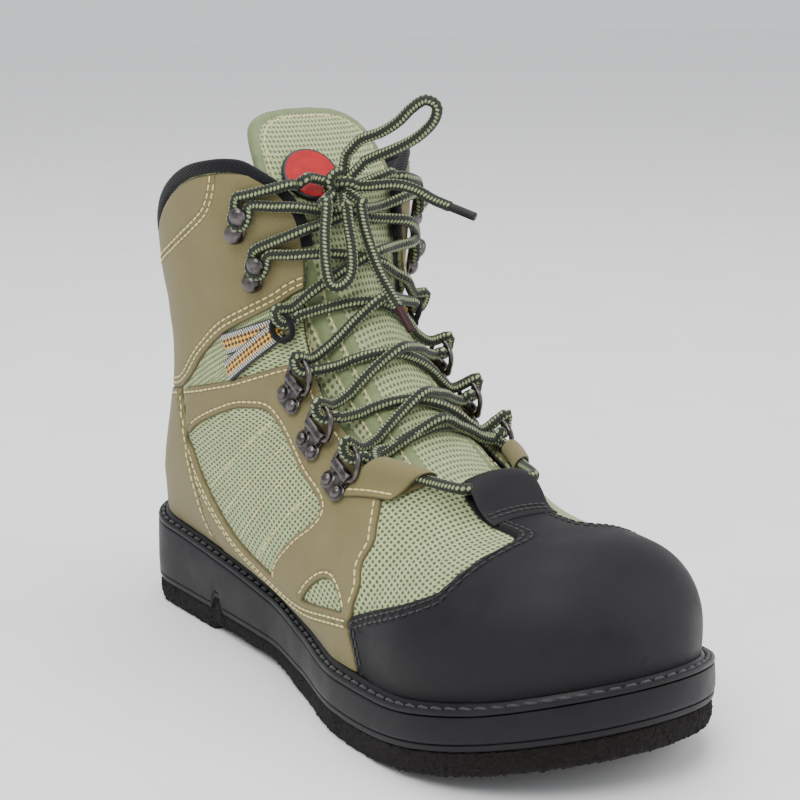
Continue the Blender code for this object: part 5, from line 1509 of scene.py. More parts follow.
def modelRing():
    reach = hardwareSettings["barrelLength"] / 2 + 0.0006 + ringWire / 2 - 0.0004
    points = [(-reach + 0.0034, barrelAt, barrelRise), (-reach + 0.0012, barrelAt, barrelRise),
              (-reach, barrelAt + 0.0014, barrelRise)]
    for a in np.linspace(math.pi, 0, 9):
        points.append((reach * math.copysign(abs(math.cos(a)) ** 0.8, math.cos(a)),
                       barrelAt + 0.0038 + ringRadius * math.sin(a),
                       barrelRise + 0.0006 + tilt * math.sin(a)))
    points += [(reach, barrelAt + 0.0014, barrelRise), (reach - 0.0012, barrelAt, barrelRise),
               (reach - 0.0034, barrelAt, barrelRise)]
    ring = tubeMesh("ringModel", smoothRoute(points, 0.0008), ringWire / 2, 12)
    ring.data.transform(Matrix.Translation((boot["heelRest"], 0, 0)))
    return ring


def modelHook():
    s = hardwareSettings
    base = s["base"]
    foot = addPrimitive("cube", size=1, location=(0, 0.0035, base + 0.0006), scale=(0.0056, 0.0130, 0.0012))
    applyModifier(foot, "BEVEL", width=0.0005, segments=3)
    parts = [foot, domed(0.0046, base + 0.0009, 0.0012, (0, -0.0006)),
             domed(0.0043, base + 0.0016, 0.0038, (0, -0.0008))]
    stem = addPrimitive("cylinder", vertices=20, radius=0.0019, depth=0.0052,
                        location=(0, hookAt, base + 0.0030))
    parts.append(stem)
    head = domed(s["hookHead"], s["hookHeight"] - 0.0022, 0.0028, (0, hookAt), 26)
    for v in head.data.vertices:
        v.co.z += (v.co.y - hookAt) * 0.16
    parts.append(head)
    return joined(parts, "hookModel")


def modelDrain():
    ring = addPrimitive("torus", major_radius=0.0030, minor_radius=0.0009, major_segments=28,
                        minor_segments=12,
                        location=(0, 0, 0.0026))
    cup = addPrimitive("cylinder", vertices=24, radius=0.0026, depth=0.0010, location=(0, 0, 0.0022))
    bpy.ops.object.mode_set(mode="EDIT")
    bpy.ops.mesh.select_all(action="DESELECT")
    bpy.ops.object.mode_set(mode="OBJECT")
    for face in cup.data.polygons:
        face.select = face.normal.z > 0.9
    bpy.ops.object.mode_set(mode="EDIT")
    bpy.ops.mesh.select_mode(type="FACE")
    bpy.ops.mesh.inset(thickness=0.0006, depth=-0.0006)
    bpy.ops.object.mode_set(mode="OBJECT")
    return joined([ring, cup], "drainModel")


# sewn-on parts

def bandOn(name, start, end, side, width, thickness, rise):
    # flat strap on the upper between two side-view places
    a, b = (seat(*p, side).translation for p in (start, end))
    stations = []
    count = 16
    points = []
    for i in range(count + 1):
        place = a.lerp(b, i / count)
        hit, normal, _, _ = form.ray_cast(place + Vector((0, side * 0.05, 0)), Vector((0, -side, 0)))
        if normal.y * side < 0:
            normal = -normal
        points.append((hit, normal))
    for i, (point, normal) in enumerate(points):
        ahead = (points[min(i + 1, count)][0] - points[max(i - 1, 0)][0]).normalized()
        out = (normal - ahead * normal.dot(ahead)).normalized()
        stations.append((point + out * rise, ahead.cross(out), out))
    half = width / 2
    section = [(-half, 0), (-half, thickness * 0.7), (-half + 0.0004, thickness),
               (-half * 0.33, thickness * 1.05),
               (half * 0.33, thickness * 1.05), (half - 0.0004, thickness), (half, thickness * 0.7),
               (half, 0)]
    return sweep(name, stations, section, True, None, 50.0)


def makeWebbing(side, word):
    upper = bandOn("upper" + word, (0.284, 0.640), (0.372, 0.694), side, 0.0092, 0.0013, 0.0004)
    lower = bandOn("lower" + word, (0.292, 0.584), (0.374, 0.690), side, 0.0092, 0.0013, 0.0012)
    return joined([upper, lower], "webbing" + word)


def padOn(name, tree, middle, towards, reach, thickness, rings, base=0.0002, spokes=48):
    # round or oval pad that follows the surface met from a direction; rings: share, rise
    hit, normal, _, _ = tree.ray_cast(middle - towards * 0.05, towards)
    if normal.dot(towards) > 0:
        normal = -normal
    across = normal.cross(Vector((0, 0, 1))).normalized()
    up = across.cross(normal)
    verts, faces, uvs, edge = [], [], [], []
    for share, rise in rings:
        for k in range(spokes):
            a = 2 * math.pi * k / spokes
            flat = hit + (across * math.cos(a) * reach[0] + up * math.sin(a) * reach[1]) * share
            foot = tree.ray_cast(flat + normal * 0.02, -normal)[0] or flat
            verts.append(foot + normal * (base + thickness * rise))
            uvs.append((math.cos(a) * share * reach[0] / mm, math.sin(a) * share * reach[1] / mm))
            edge.append((1 - share) * reach[0] / mm)
    for i in range(len(rings) - 1):
        for k in range(spokes):
            j = (k + 1) % spokes
            faces.append((i * spokes + k, i * spokes + j, (i + 1) * spokes + j, (i + 1) * spokes + k))
    return finishMesh(name, verts, faces, {"edge": edge}, uvs, 50.0)


def makePullLoop():
    top = lastPoint(collarRow, 0.0, 1)
    path = ((-.0023, -.030), (-.0070, -.020), (-.0100, -.008), (-.0090, .0010), (-.0025, .0035))
    route = roundedLine([(top[0] + a, 0.0, top[2] + b) for a, b in path], False, 10)
    stations = []
    for i in range(len(route)):
        ahead = Vector(route[min(i + 1, len(route) - 1)] - route[max(i - 1, 0)]).normalized()
        stations.append((Vector(route[i]), Vector((0, 1, 0)), Vector((ahead.z, 0, -ahead.x)) * -1))
    half, thick = 0.0080, 0.0011
    section = [(-half, -thick * .6), (-half + .0005, -thick), (-.003, -thick), (.003, -thick),
               (half - .0005, -thick),
               (half, -thick * .6), (half, thick * .6), (half - .0005, thick), (.003, thick), (-.003, thick),
               (-half + .0005, thick), (-half, thick * .6)]
    return sweep("heelPullLoop", stations, section)


def foldedBand(name, stations, profile, thickness, place, spacing):
    # strap bent along a profile of (distance, rise) in mm; place(station, distance, rise) sets each station
    line = roundedLine(profile, False, 5)
    ahead = np.gradient(line, axis=0)
    ahead /= np.linalg.norm(ahead, axis=1, keepdims=True)
    off = np.stack([-ahead[:, 1], ahead[:, 0]], -1) * thickness / 2
    run = np.concatenate([[0], np.cumsum(np.linalg.norm(np.diff(line, axis=0), axis=1))])
    n = len(line)
    thin = np.clip(np.minimum(run, run[-1] - run) / 0.6 + 0.35, 0, 1)[:, None]
    verts, faces, uvs, edge = [], [], [], []
    for i, s in enumerate(stations):
        border = min(i, len(stations) - 1 - i) * spacing
        slim = 0.45 if border == 0 else 1.0
        for sheet in (line + off * thin * slim, line - off * thin * slim):
            for k, (d, rise) in enumerate(sheet):
                verts.append(place(s, d * mm, rise * mm))
                uvs.append((i * spacing, run[k]))
                edge.append(min(border, run[k], run[-1] - run[k]) + 0.2)
    for i in range(len(stations) - 1):
        a, b = i * 2 * n, (i + 1) * 2 * n
        for k in range(n - 1):
            faces.append((a + k, a + k + 1, b + k + 1, b + k))
            faces.append((a + n + k, a + n + k + 1, b + n + k + 1, b + n + k))
        for k in (0, n - 1):
            faces.append((a + k, a + n + k, b + n + k, b + k))
    for i in (0, len(stations) - 1):
        a = i * 2 * n
        for k in range(n - 1):
            faces.append((a + k, a + k + 1, a + n + k + 1, a + n + k))
    return finishMesh(name, verts, faces, {"edge": edge, "seam": [9.0] * len(verts)}, uvs, 60.0)


bandSettings = {
    "tabHalf": 0.0132,
    "tabWall": 1.5,             # mm
    "tabProfile": ((15.0, 1.6), (9.0, 1.7), (3.0, 1.8), (-1.5, 2.0), (-4.3, 3.6), (-4.9, 6.2), (-3.4, 8.8),
                   (0.0, 9.6),
                   (4.0, 8.9), (8.0, 7.2), (12.0, 5.0), (16.0, 3.2), (20.0, 2.4), (23.0, 2.1)),
    "strapWall": 1.2,
    "strapProfile": ((8.0, 1.9), (4.0, 1.6), (0.5, 1.7), (-2.4, 2.8), (-3.5, 5.2), (-2.6, 7.6), (-0.2, 8.5),
                     (2.4, 7.6),
                     (4.6, 5.6), (6.8, 3.6), (9.2, 2.5), (12.0, 2.1)),
}


def makeToeTab():
    # the cap's tongue folded back over the first bar of lace; towards the toe is plus
    half = bandSettings["tabHalf"]

    def place(y, d, rise):
        slack = 1 - 0.10 * (y / half) ** 2
        lean = 1 + 0.10 * d / 0.010
        row = laceSettings["tabRow"] - d / laceSettings["tabRowLength"]
        return over(row, y * min(max(lean, 0.94), 1.10), rise * slack)

    return foldedBand("toeTabFold", np.linspace(-half, half, 19), bandSettings["tabProfile"],
                      bandSettings["tabWall"], place,
                      2 * half / 18 / mm)


def makeStrapLoop(side, word):
    # the strap's end rolled round the lace, its tail sewn down on the strap; outwards is plus
    (rowA, yA), (rowB, yB) = laceSettings["strapEnds"]

    def place(s, d, rise):
        row = rowA + (rowB - rowA) * s
        y = yA + (yB - yA) * s + d
        return over(row + d * laceSettings["strapRowsAMetre"], y * side, rise)

    return foldedBand("strapRoll" + word, np.linspace(-0.10, 1.10, 15), bandSettings["strapProfile"],
                      bandSettings["strapWall"], place, 1.4)


# materials

def hexColour(text):
    values = [int(text[i:i + 2], 16) / 255 for i in (1, 3, 5)]
    return tuple(v / 12.92 if v <= 0.04045 else ((v + 0.055) / 1.055) ** 2.4 for v in values) + (1.0,)


def newMaterial(name):
    mat = bpy.data.materials.new(name)
    mat.use_nodes = True
    mat.node_tree.nodes.clear()
    return mat


# the output that a link takes where it isn't the first
mainOutputs = {"ShaderNodeMix": 2, "ShaderNodeAttribute": "Fac"}


def addNode(mat, kind, links=None, stops=None, **settings):
    # one node with its settings; links: input -> value, output or node; stops: the marks of a colour ramp
    node = mat.node_tree.nodes.new("ShaderNode" + kind)
    for name, value in settings.items():
        setattr(node, name, value)
    for key, value in (links or {}).items():
        if isinstance(value, bpy.types.Node):
            value = value.outputs[mainOutputs.get(value.bl_idname, 0)]
        if isinstance(value, bpy.types.NodeSocket):
            mat.node_tree.links.new(value, node.inputs[key])
        else:
            node.inputs[key].default_value = value
    if stops:
        node.color_ramp.interpolation = "EASE"
        marks = node.color_ramp.elements
        stops = [(at, value if isinstance(value, tuple) else (value,) * 3 + (1,)) for at, value in stops]
        for mark, (at, colour) in zip((marks[0], marks[1]), (stops[0], stops[-1])):
            mark.position, mark.color = at, colour
        for at, colour in stops[1:-1]:
            marks.new(at).color = colour
    return node


def speckle(mat, size, detail=3.0, rough=0.55):
    # noise with a real size in mm, in object coordinates
    return addNode(mat, "TexNoise",
                   {"Vector": addNode(mat, "TexCoord").outputs["Object"], "Scale": 1000.0 / size,
                                     "Detail": detail, "Roughness": rough})


def fadeBy(mat, name, scale, stops):
    # grey values along a distance in mm that the mesh carries
    distance = addNode(mat, "Math", {0: addNode(mat, "Attribute", attribute_name=name), 1: scale},
                       operation="MULTIPLY")
    return addNode(mat, "ValToRGB", {0: distance}, stops)


def shaded(mat, layers, inputs):
    # the surface with its bumps one on another; layers: height and its depth in mm
    bump = {}
    for heightMap, depth in layers:
        links = {"Height": heightMap, "Distance": depth * mm, "Strength": 1.0, **bump}
        bump = {"Normal": addNode(mat, "Bump", links)}
    addNode(mat, "OutputMaterial", {0: addNode(mat, "BsdfPrincipled", {**inputs, **bump})})
    return mat


def nubuckLeather():
    # sanded synthetic nubuck: matt, fine nap; painted shade darkens it in the seams and along the rolled
    # panel edges
    mat = newMaterial("nubuckLeather")
    nap = speckle(mat, 0.55, 4.0, 0.7)
    cloud = speckle(mat, 14.0, 3.0, 0.5)
    pores = addNode(mat, "TexVoronoi",
                    {"Vector": addNode(mat, "TexCoord").outputs["Object"], "Scale": 1000 / 1.1}, feature="F1")
    base = addNode(mat, "ValToRGB", {0: cloud}, [(0.30, hexColour("#6F6642")), (0.70, hexColour("#766D48"))])
    fine = addNode(mat, "Mix", {0: addNode(mat, "ValToRGB", {0: nap}, [(0.35, 0.0), (0.65, 0.38)]), 6: base,
                                7: hexColour("#847B55")}, data_type="RGBA")
    # painted shade: the nubuck darkens towards the stitched seams, in their grooves
    paintedSeamShade = fadeBy(mat, "seam", 0.25, [(0.0, 0.55), (0.22, 0.0)])
    fine = addNode(mat, "Mix", {0: paintedSeamShade, 6: fine, 7: hexColour("#37321C")}, data_type="RGBA")
    # painted shade: the nubuck darkens within a millimetre of each panel's rolled border
    paintedEdgeShade = fadeBy(mat, "edge", 0.5, [(0.0, 0.75), (0.5, 0.0)])
    fine = addNode(mat, "Mix", {0: paintedEdgeShade, 6: fine, 7: hexColour("#3F3A22")}, data_type="RGBA")
    groove = fadeBy(mat, "seam", 0.5, [(0.0, 0.0), (0.75, 1.0)])
    rough = addNode(mat, "ValToRGB", {0: cloud}, [(0.3, 0.74), (0.7, 0.86)])
    return shaded(mat, [(groove, 0.55), (pores.outputs["Distance"], 0.10), (nap.outputs[0], 0.10)],
                  {"Base Color": fine, "Roughness": rough, "Sheen Weight": 0.10, "Sheen Roughness": 0.5,
                   "Specular IOR Level": 0.3})


def dashes(mat, turn, long, row):
    # staggered oval holes of a knitted mesh, in mm: 1 in a hole and 0 on the yarn
    uv = addNode(mat, "UVMap", uv_map="weave").outputs[0]
    warp = speckle(mat, 7.0, 2.0)
    turned = addNode(mat, "Mapping", {"Vector": uv, "Rotation": (0, 0, math.radians(turn))})
    parts = addNode(mat, "SeparateXYZ", {0: turned})
    waves = []
    for sign in (1, -1):
        a = addNode(mat, "Math", {0: parts.outputs[0], 1: 2 * math.pi / long / 2}, operation="MULTIPLY")
        b = addNode(mat, "Math", {0: parts.outputs[1], 1: sign * 2 * math.pi / row / 2}, operation="MULTIPLY")
        total = addNode(mat, "Math", {0: a, 1: b}, operation="ADD")
        total = addNode(mat, "Math", {0: total, 1: warp.outputs[0]}, operation="ADD")
        waves.append(addNode(mat, "Math", {0: total}, operation="SINE"))
    product = addNode(mat, "Math", {0: waves[0], 1: waves[1]}, operation="MULTIPLY")
    return addNode(mat, "ValToRGB", {0: product}, [(0.10, 0.0), (0.55, 1.0)])


def meshCloth():
    # knitted polyester mesh: rows of small dark holes between pale yarns; the inner face is the black lining
    mat = newMaterial("meshCloth")
    holes = dashes(mat, 16, 3.0, 2.0)
    cloud = speckle(mat, 9.0)
    yarn = speckle(mat, 0.6, 3.0, 0.7)
    pale = addNode(mat, "ValToRGB", {0: cloud}, [(0.3, hexColour("#8F9B68")), (0.7, hexColour("#9FAB76"))])
    pale = addNode(mat, "Mix", {0: addNode(mat, "ValToRGB", {0: yarn}, [(0.35, 0.0), (0.65, 0.55)]), 6: pale,
                                7: hexColour("#CBD3A0")}, data_type="RGBA")
    colour = addNode(mat, "Mix", {0: addNode(mat, "Math", {0: holes, 1: 0.92}, operation="MULTIPLY"), 6: pale,
                                  7: hexColour("#3E4A31")}, data_type="RGBA")
    # painted shade: the mesh darkens towards the stitched seams, in their grooves
    dark = fadeBy(mat, "seam", 0.25, [(0.0, 0.35), (0.2, 0.0)])
    colour = addNode(mat, "Mix", {0: dark, 6: colour, 7: hexColour("#3C4830")}, data_type="RGBA")
    lining = fadeBy(mat, "edge", -1.0, [(0.2, 0.0), (0.8, 1.0)])
    cloth = addNode(mat, "ValToRGB", {0: speckle(mat, 0.9, 3.0)},
                    [(0.3, hexColour("#0A0A0D")), (0.7, hexColour("#17171C"))])
    colour = addNode(mat, "Mix", {0: lining, 6: colour, 7: cloth}, data_type="RGBA")
    heightMap = addNode(mat, "Math", {0: 1.0, 1: holes}, operation="SUBTRACT")
    return shaded(mat, [(heightMap, 0.40), (yarn.outputs[0], 0.14)],
                  {"Base Color": colour, "Roughness": 0.72, "Sheen Weight": 0.12, "Specular IOR Level": 0.3})


def mouldedRubber(name, dark, light, rough, grain, seams=False, scuff=0.3):
    # moulded rubber: fine sand-blasted grain, cloudy gloss, grey scuffs
    mat = newMaterial(name)
    fine = speckle(mat, grain, 3.0, 0.6)
    cloud = speckle(mat, 18.0, 4.0, 0.6)
    streak = speckle(mat, 3.0, 6.0, 0.75)
    colour = addNode(mat, "ValToRGB", {0: cloud}, [(0.3, hexColour(dark)), (0.7, hexColour(light))])
    marks = addNode(mat, "ValToRGB", {0: streak}, [(0.60, 0.0), (0.74, scuff)])
    colour = addNode(mat, "Mix", {0: marks, 6: colour, 7: hexColour("#3A393C")}, data_type="RGBA")
    layers = [(fine.outputs[0], 0.10)]
    if seams:
        # painted shade: the rubber darkens towards the stitched seams, in their grooves
        soft = fadeBy(mat, "seam", 0.25, [(0.0, 0.6), (0.22, 0.0)])
        colour = addNode(mat, "Mix", {0: soft, 6: colour, 7: hexColour("#0B0A0C")}, data_type="RGBA")
        groove = fadeBy(mat, "seam", 0.5, [(0.0, 0.0), (0.75, 1.0)])
        layers = [(groove, 0.5)] + layers
    roughness = addNode(mat, "ValToRGB", {0: cloud}, [(0.25, rough - 0.06), (0.75, rough + 0.08)])
    return shaded(mat, layers, {"Base Color": colour, "Roughness": roughness, "Specular IOR Level": 0.22})


def pressedFelt():
    # needled felt: dark brown fibres, matt and fuzzy
    mat = newMaterial("pressedFelt")
    fibre = speckle(mat, 0.9, 6.0, 0.85)
    tuft = speckle(mat, 4.0, 4.0, 0.7)
    colour = addNode(mat, "ValToRGB", {0: fibre}, [(0.32, hexColour("#040302")), (0.55, hexColour("#120D0A")),
                                                   (0.74, hexColour("#43362D"))])
    return shaded(mat, [(tuft.outputs[0], 0.8), (fibre.outputs[0], 0.6)],
                  {"Base Color": colour, "Roughness": 0.97, "Sheen Weight": 0.05, "Sheen Roughness": 0.7,
                   "Specular IOR Level": 0.1})


def wovenBlack(name, first, second, pitch=0.9):
    # black woven polyester: a fine diagonal rib
    mat = newMaterial(name)
    uv = addNode(mat, "UVMap", uv_map="weave").outputs[0]
    wave = addNode(mat, "TexWave", {"Vector": uv, "Scale": 0.5 / pitch * 2 / 3.3, "Distortion": 0.6,
                                    "Detail": 2.0, "Detail Scale": 2.0},
                   wave_type="BANDS", bands_direction="DIAGONAL")
    fuzz = speckle(mat, 0.6, 3.0, 0.7)
    colour = addNode(mat, "ValToRGB", {0: fuzz}, [(0.3, hexColour(first)), (0.7, hexColour(second))])
    return shaded(mat, [(wave.outputs["Fac"], 0.22), (fuzz.outputs[0], 0.12)],
                  {"Base Color": colour, "Roughness": 0.86, "Sheen Weight": 0.08, "Specular IOR Level": 0.3})


def braidedLace():
    # round braided polyester: dark olive sheath with pale flecks that wind round it
    mat = newMaterial("braidedLace")
    uv = addNode(mat, "UVMap", uv_map="weave").outputs[0]
    parts = addNode(mat, "SeparateXYZ", {0: uv})
    u, v = parts.outputs[0], parts.outputs[1]
    around = boot["laceDiameter"] * math.pi / mm

    def sine(a, b):
        # one wave across the cord: a turns per mm along, b turns around
        left = addNode(mat, "Math", {0: u, 1: 2 * math.pi * a}, operation="MULTIPLY")
        right = addNode(mat, "Math", {0: v, 1: 2 * math.pi * b / around}, operation="MULTIPLY")
        total = addNode(mat, "Math", {0: left, 1: right}, operation="ADD")
        return addNode(mat, "Math", {0: total}, operation="SINE")

    braidA, braidB = sine(1 / 2.2, 4), sine(1 / 2.2, -4)
    plait = addNode(mat, "Math", {0: braidA, 1: braidB}, operation="MAXIMUM")
    band = sine(1 / 85.0, 4)
    tick = sine(1 / 1.5, 2)
    fleck = addNode(mat, "Math", {0: band, 1: addNode(mat, "Math", {0: tick, 1: 0.65}, operation="MULTIPLY")},
                    operation="ADD")
    level = addNode(mat, "Math", {0: addNode(mat, "Math", {0: fleck, 1: 2.0}, operation="ADD"), 1: 0.25},
                    operation="MULTIPLY")
    pale = addNode(mat, "ValToRGB", {0: level}, [(0.60, 0.0), (0.68, 1.0)])
    fuzz = speckle(mat, 0.5, 2.0)
    core = addNode(mat, "ValToRGB", {0: fuzz}, [(0.3, hexColour("#0F130D")), (0.7, hexColour("#252D1F"))])
    light = addNode(mat, "ValToRGB", {0: fuzz}, [(0.3, hexColour("#707B54")), (0.7, hexColour("#9EA87C"))])
    colour = addNode(mat, "Mix", {0: pale, 6: core, 7: light}, data_type="RGBA")
    heightMap = addNode(mat, "Math", {0: plait, 1: 0.5}, operation="MULTIPLY")
    return shaded(mat, [(heightMap, 0.34), (fuzz.outputs[0], 0.08)],
                  {"Base Color": colour, "Roughness": 0.7, "Sheen Weight": 0.12, "Specular IOR Level": 0.35})


def checkedWebbing():
    # woven webbing, yellow and white checks on black
    mat = newMaterial("checkedWebbing")
    uv = addNode(mat, "UVMap", uv_map="weave").outputs[0]
    parts = addNode(mat, "SeparateXYZ", {0: uv})
    turned = addNode(mat, "Mapping", {"Vector": uv, "Rotation": (0, 0, math.radians(45))})
    checks = addNode(mat, "TexChecker", {"Vector": turned, "Color1": hexColour("#F0AC00"),
                                         "Color2": hexColour("#1A1710"), "Scale": 1 / 1.5})
    slanted = addNode(mat, "Mapping", {"Vector": uv, "Rotation": (0, 0, math.radians(20))})
    ticks = addNode(mat, "TexWave", {"Vector": slanted, "Scale": 0.27}, wave_type="BANDS",
                    bands_direction="X")
    small = addNode(mat, "ValToRGB", {0: ticks.outputs["Fac"]},
                    [(0.44, hexColour("#08080A")), (0.56, hexColour("#D2D2C8"))])
    # yellow checks along the middle, white ticks beside them, black borders
    off = addNode(mat, "Math", {0: addNode(mat, "Math", {0: parts.outputs[1], 1: 5.6}, operation="SUBTRACT")},
                  operation="ABSOLUTE")
    far = addNode(mat, "Math", {0: off, 1: 2.1}, operation="GREATER_THAN")
    colour = addNode(mat, "Mix", {0: far.outputs[0], 6: checks.outputs[0], 7: small.outputs[0]},
                     data_type="RGBA")
    border = addNode(mat, "Math", {0: off, 1: 3.9}, operation="GREATER_THAN")
    colour = addNode(mat, "Mix", {0: border.outputs[0], 6: colour, 7: hexColour("#08080A")}, data_type="RGBA")
    thread = speckle(mat, 0.5, 2.0)
    rib = addNode(mat, "TexWave", {"Vector": uv, "Scale": 0.35, "Distortion": 0.0}, wave_type="BANDS",
                  bands_direction="X")
    return shaded(mat, [(rib.outputs["Fac"], 0.2), (thread.outputs[0], 0.1)],
                  {"Base Color": colour, "Roughness": 0.6, "Sheen Weight": 0.2})


def badgeRubber():
    # soft moulded badge: red field, black raised rim
    mat = newMaterial("badgeRubber")
    fine = speckle(mat, 0.4, 2.0)
    rim = fadeBy(mat, "edge", 0.25, [(0.30, 1.0), (0.36, 0.0)])
    red = addNode(mat, "ValToRGB", {0: speckle(mat, 6.0)},
                  [(0.3, hexColour("#A60008")), (0.7, hexColour("#B8000E"))])
    colour = addNode(mat, "Mix", {0: rim, 6: red, 7: hexColour("#1C1A1C")}, data_type="RGBA")
    return shaded(mat, [(fine.outputs[0], 0.05)], {"Base Color": colour, "Roughness": 0.42})


def blackNickel():
    # black-nickel plated steel: dark, glossy, with a faint brownish tone that varies at random
    mat = newMaterial("blackNickel")
    cloud = speckle(mat, 2.5, 3.0)
    colour = addNode(mat, "ValToRGB", {0: cloud}, [(0.3, hexColour("#4A4645")), (0.7, hexColour("#6A6563"))])
    rough = addNode(mat, "ValToRGB", {0: cloud}, [(0.3, 0.24), (0.7, 0.36)])
    fine = speckle(mat, 0.6, 2.0)
    return shaded(mat, [(fine.outputs[0], 0.03)], {"Base Color": colour, "Metallic": 1.0, "Roughness": rough})


def sewingThread(name, first, second):
    # twisted polyester thread
    mat = newMaterial(name)
    twist = speckle(mat, 0.45, 2.0)
    colour = addNode(mat, "ValToRGB", {0: twist}, [(0.3, hexColour(first)), (0.7, hexColour(second))])
    return shaded(mat, [(twist.outputs[0], 0.15)],
                  {"Base Color": colour, "Roughness": 0.6, "Sheen Weight": 0.2})


def tonguePadCloth():
    # the tongue's mesh with a smooth olive band round its rim
    mat = newMaterial("tongueMesh")
    holes = dashes(mat, 0, 2.8, 1.8)
    yarn = speckle(mat, 0.5, 2.0)
    pale = addNode(mat, "ValToRGB", {0: yarn}, [(0.3, hexColour("#8A9569")), (0.7, hexColour("#B4BD88"))])
    colour = addNode(mat, "Mix", {0: addNode(mat, "Math", {0: holes, 1: 0.82}, operation="MULTIPLY"), 6: pale,
                                  7: hexColour("#3F4C33")}, data_type="RGBA")
    band = fadeBy(mat, "edge", 0.1, [(0.44, 1.0), (0.47, 0.0)])
    smooth = addNode(mat, "ValToRGB", {0: speckle(mat, 5.0)},
                     [(0.3, hexColour("#67744A")), (0.7, hexColour("#758257"))])
    ribs = fadeBy(mat, "rib", 1.0, [(0.35, 0.0), (0.6, 1.0)])
    band = addNode(mat, "Math", {0: band, 1: ribs}, operation="MAXIMUM")
    colour = addNode(mat, "Mix", {0: band, 6: colour, 7: smooth}, data_type="RGBA")
    weave = addNode(mat, "Math", {0: addNode(mat, "Math", {0: 1.0, 1: holes}, operation="SUBTRACT"),
                                  1: addNode(mat, "Math", {0: 1.0, 1: band}, operation="SUBTRACT")},
                                  operation="MULTIPLY")
    return shaded(mat, [(weave, 0.35), (yarn.outputs[0], 0.10)],
                  {"Base Color": colour, "Roughness": 0.66, "Sheen Weight": 0.12})


def paleFloor():
    mat = newMaterial("studioPaper")
    cloud = speckle(mat, 60.0)
    colour = addNode(mat, "ValToRGB", {0: cloud},
                     [(0.3, (0.93, 0.93, 0.93, 1)), (0.7, (0.96, 0.96, 0.96, 1))])
    return shaded(mat, [], {"Base Color": colour, "Roughness": 0.9})


def dress(piece, mat, slotName, *nodes):
    piece.data.materials.clear()
    piece.data.materials.append(mat)
    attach(piece, "root")
    if nodes:
        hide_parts(*nodes)
    return piece


# camera, floor and light

def makeStudio():
    data = bpy.data.cameras.new("photoCamera")
    camera = bpy.data.objects.new("photoCamera", data)
    bpy.context.collection.objects.link(camera)
    camera.location = (0.7531, -0.4303, 0.2988)
    aim = Vector((0.1110, 0.0030, 0.1130))
    camera.rotation_mode = "QUATERNION"
    camera.rotation_quaternion = (aim - camera.location).to_track_quat("-Z", "Y")
    data.lens = 88
    data.sensor_width = 36
    data.clip_start, data.clip_end = 0.01, 50
    bpy.context.scene.camera = camera
    bpy.ops.object.select_all(action="DESELECT")
    bpy.ops.mesh.primitive_plane_add(size=8, location=(0, 0, 0))
    floor = bpy.context.object
    floor.name = "studioFloor"
    floor.data.materials.append(paleFloor())
    world = bpy.data.worlds.new("studioWorld")
    bpy.context.scene.world = world
    world.use_nodes = True
    world.node_tree.nodes["Background"].inputs[0].default_value = (0.95, 0.97, 1.0, 1)
    world.node_tree.nodes["Background"].inputs[1].default_value = 0.9
    for name, place, size, power in (("keyLight", (0.9, -1.0, 1.6), 1.2, 26),
                                     ("fillLight", (1.2, 1.1, 0.9), 1.4, 11),
                                     ("topLight", (-0.2, 0.1, 1.8), 1.4, 16)):
        light = bpy.data.lights.new(name, "AREA")
        light.shape = "DISK"
        light.size = size
        light.energy = power
        lamp = bpy.data.objects.new(name, light)
        bpy.context.collection.objects.link(lamp)
        lamp.location = place
        lamp.rotation_mode = "QUATERNION"
        lamp.rotation_quaternion = (Vector((0.11, 0, 0.09)) - Vector(place)).to_track_quat("-Z", "Y")


# the boot is put together

makeStudio()
nubuck = nubuckLeather()
mesh = meshCloth()
capRubber = mouldedRubber("toeCapRubber", "#151316", "#1B191C", 0.54, 0.5, True, 0.12)
wallRubber = mouldedRubber("midsoleRubber", "#111013", "#18171A", 0.48, 0.8, False, 0.16)
weltRubber = mouldedRubber("weltRubber", "#121214", "#19191C", 0.42, 0.6, False, 0.1)
felt = pressedFelt()
blackCloth = wovenBlack("wovenBinding", "#08080A", "#121115")
insoleCloth = wovenBlack("insoleCloth", "#2A2A2C", "#3C3C3F", 1.4)
lace = braidedLace()
webbing = checkedWebbing()
metal = blackNickel()
creamThread = sewingThread("creamThread", "#D2C07C", "#EADB9C")
blackThread = sewingThread("blackThread", "#030304", "#0B0B0D")
weltThread = sewingThread("waxedThread", "#1B1A1D", "#38363A")

cords = makeCords()
cordNodes = {"loopUp": "lace_loop_up", "loopDown": "lace_loop_down", "endRight": "lace_end_right",
             "endDown": "lace_end_down"}
aglets = {"endRight": makeAglet("agletRight", cords["endRight"][1]),
          "endDown": makeAglet("agletDown", cords["endDown"][1])}
dress(aglets["endRight"], mouldedRubber("lacetip", "#1A1819", "#2A2526", 0.35, 0.5), "lace_tip",
      "aglet_right")
dress(aglets["endDown"], mouldedRubber("lacetipWorn", "#2A1718", "#3A2122", 0.35, 0.5), "lace_tip",
      "aglet_down")
for key, (piece, route) in cords.items():
    dress(piece, lace, "lace", cordNodes[key])
    path = [(p[0] - boot["heelRest"], p[1], p[2]) for p in route]
    run = float(np.linalg.norm(np.diff(route, axis=0), axis=1).sum())
    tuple(path[0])
print("cords made")

dress(makeFelt(), felt, "felt", "outsole_felt")
dress(makeMidsole(), wallRubber, "sole_rubber", "midsole")
dress(makeWelt(), weltRubber, "sole_rubber", "welt")
dress(makeInsole(), insoleCloth, "insole_foam", "insole")
print("sole made")

skin = dress(makeSkin(), mesh, "mesh", "upper")
quarter = dress(layOver("quarterPanels", quarterField, quarterHeight), nubuck, "nubuck", "quarter_lateral",
                "quarter_medial")
counter = dress(layOver("counterPanel", counterField, plainHeight(0.0016)), nubuck, "nubuck", "heel_counter")
cuff = dress(layOver("cuffPanel", cuffField, plainHeight(0.0014)), nubuck, "nubuck", "cuff")
cap = dress(layOver("toeCapShell", capField, capHeight), capRubber, "cap_rubber", "toe_cap")
print("panels made")

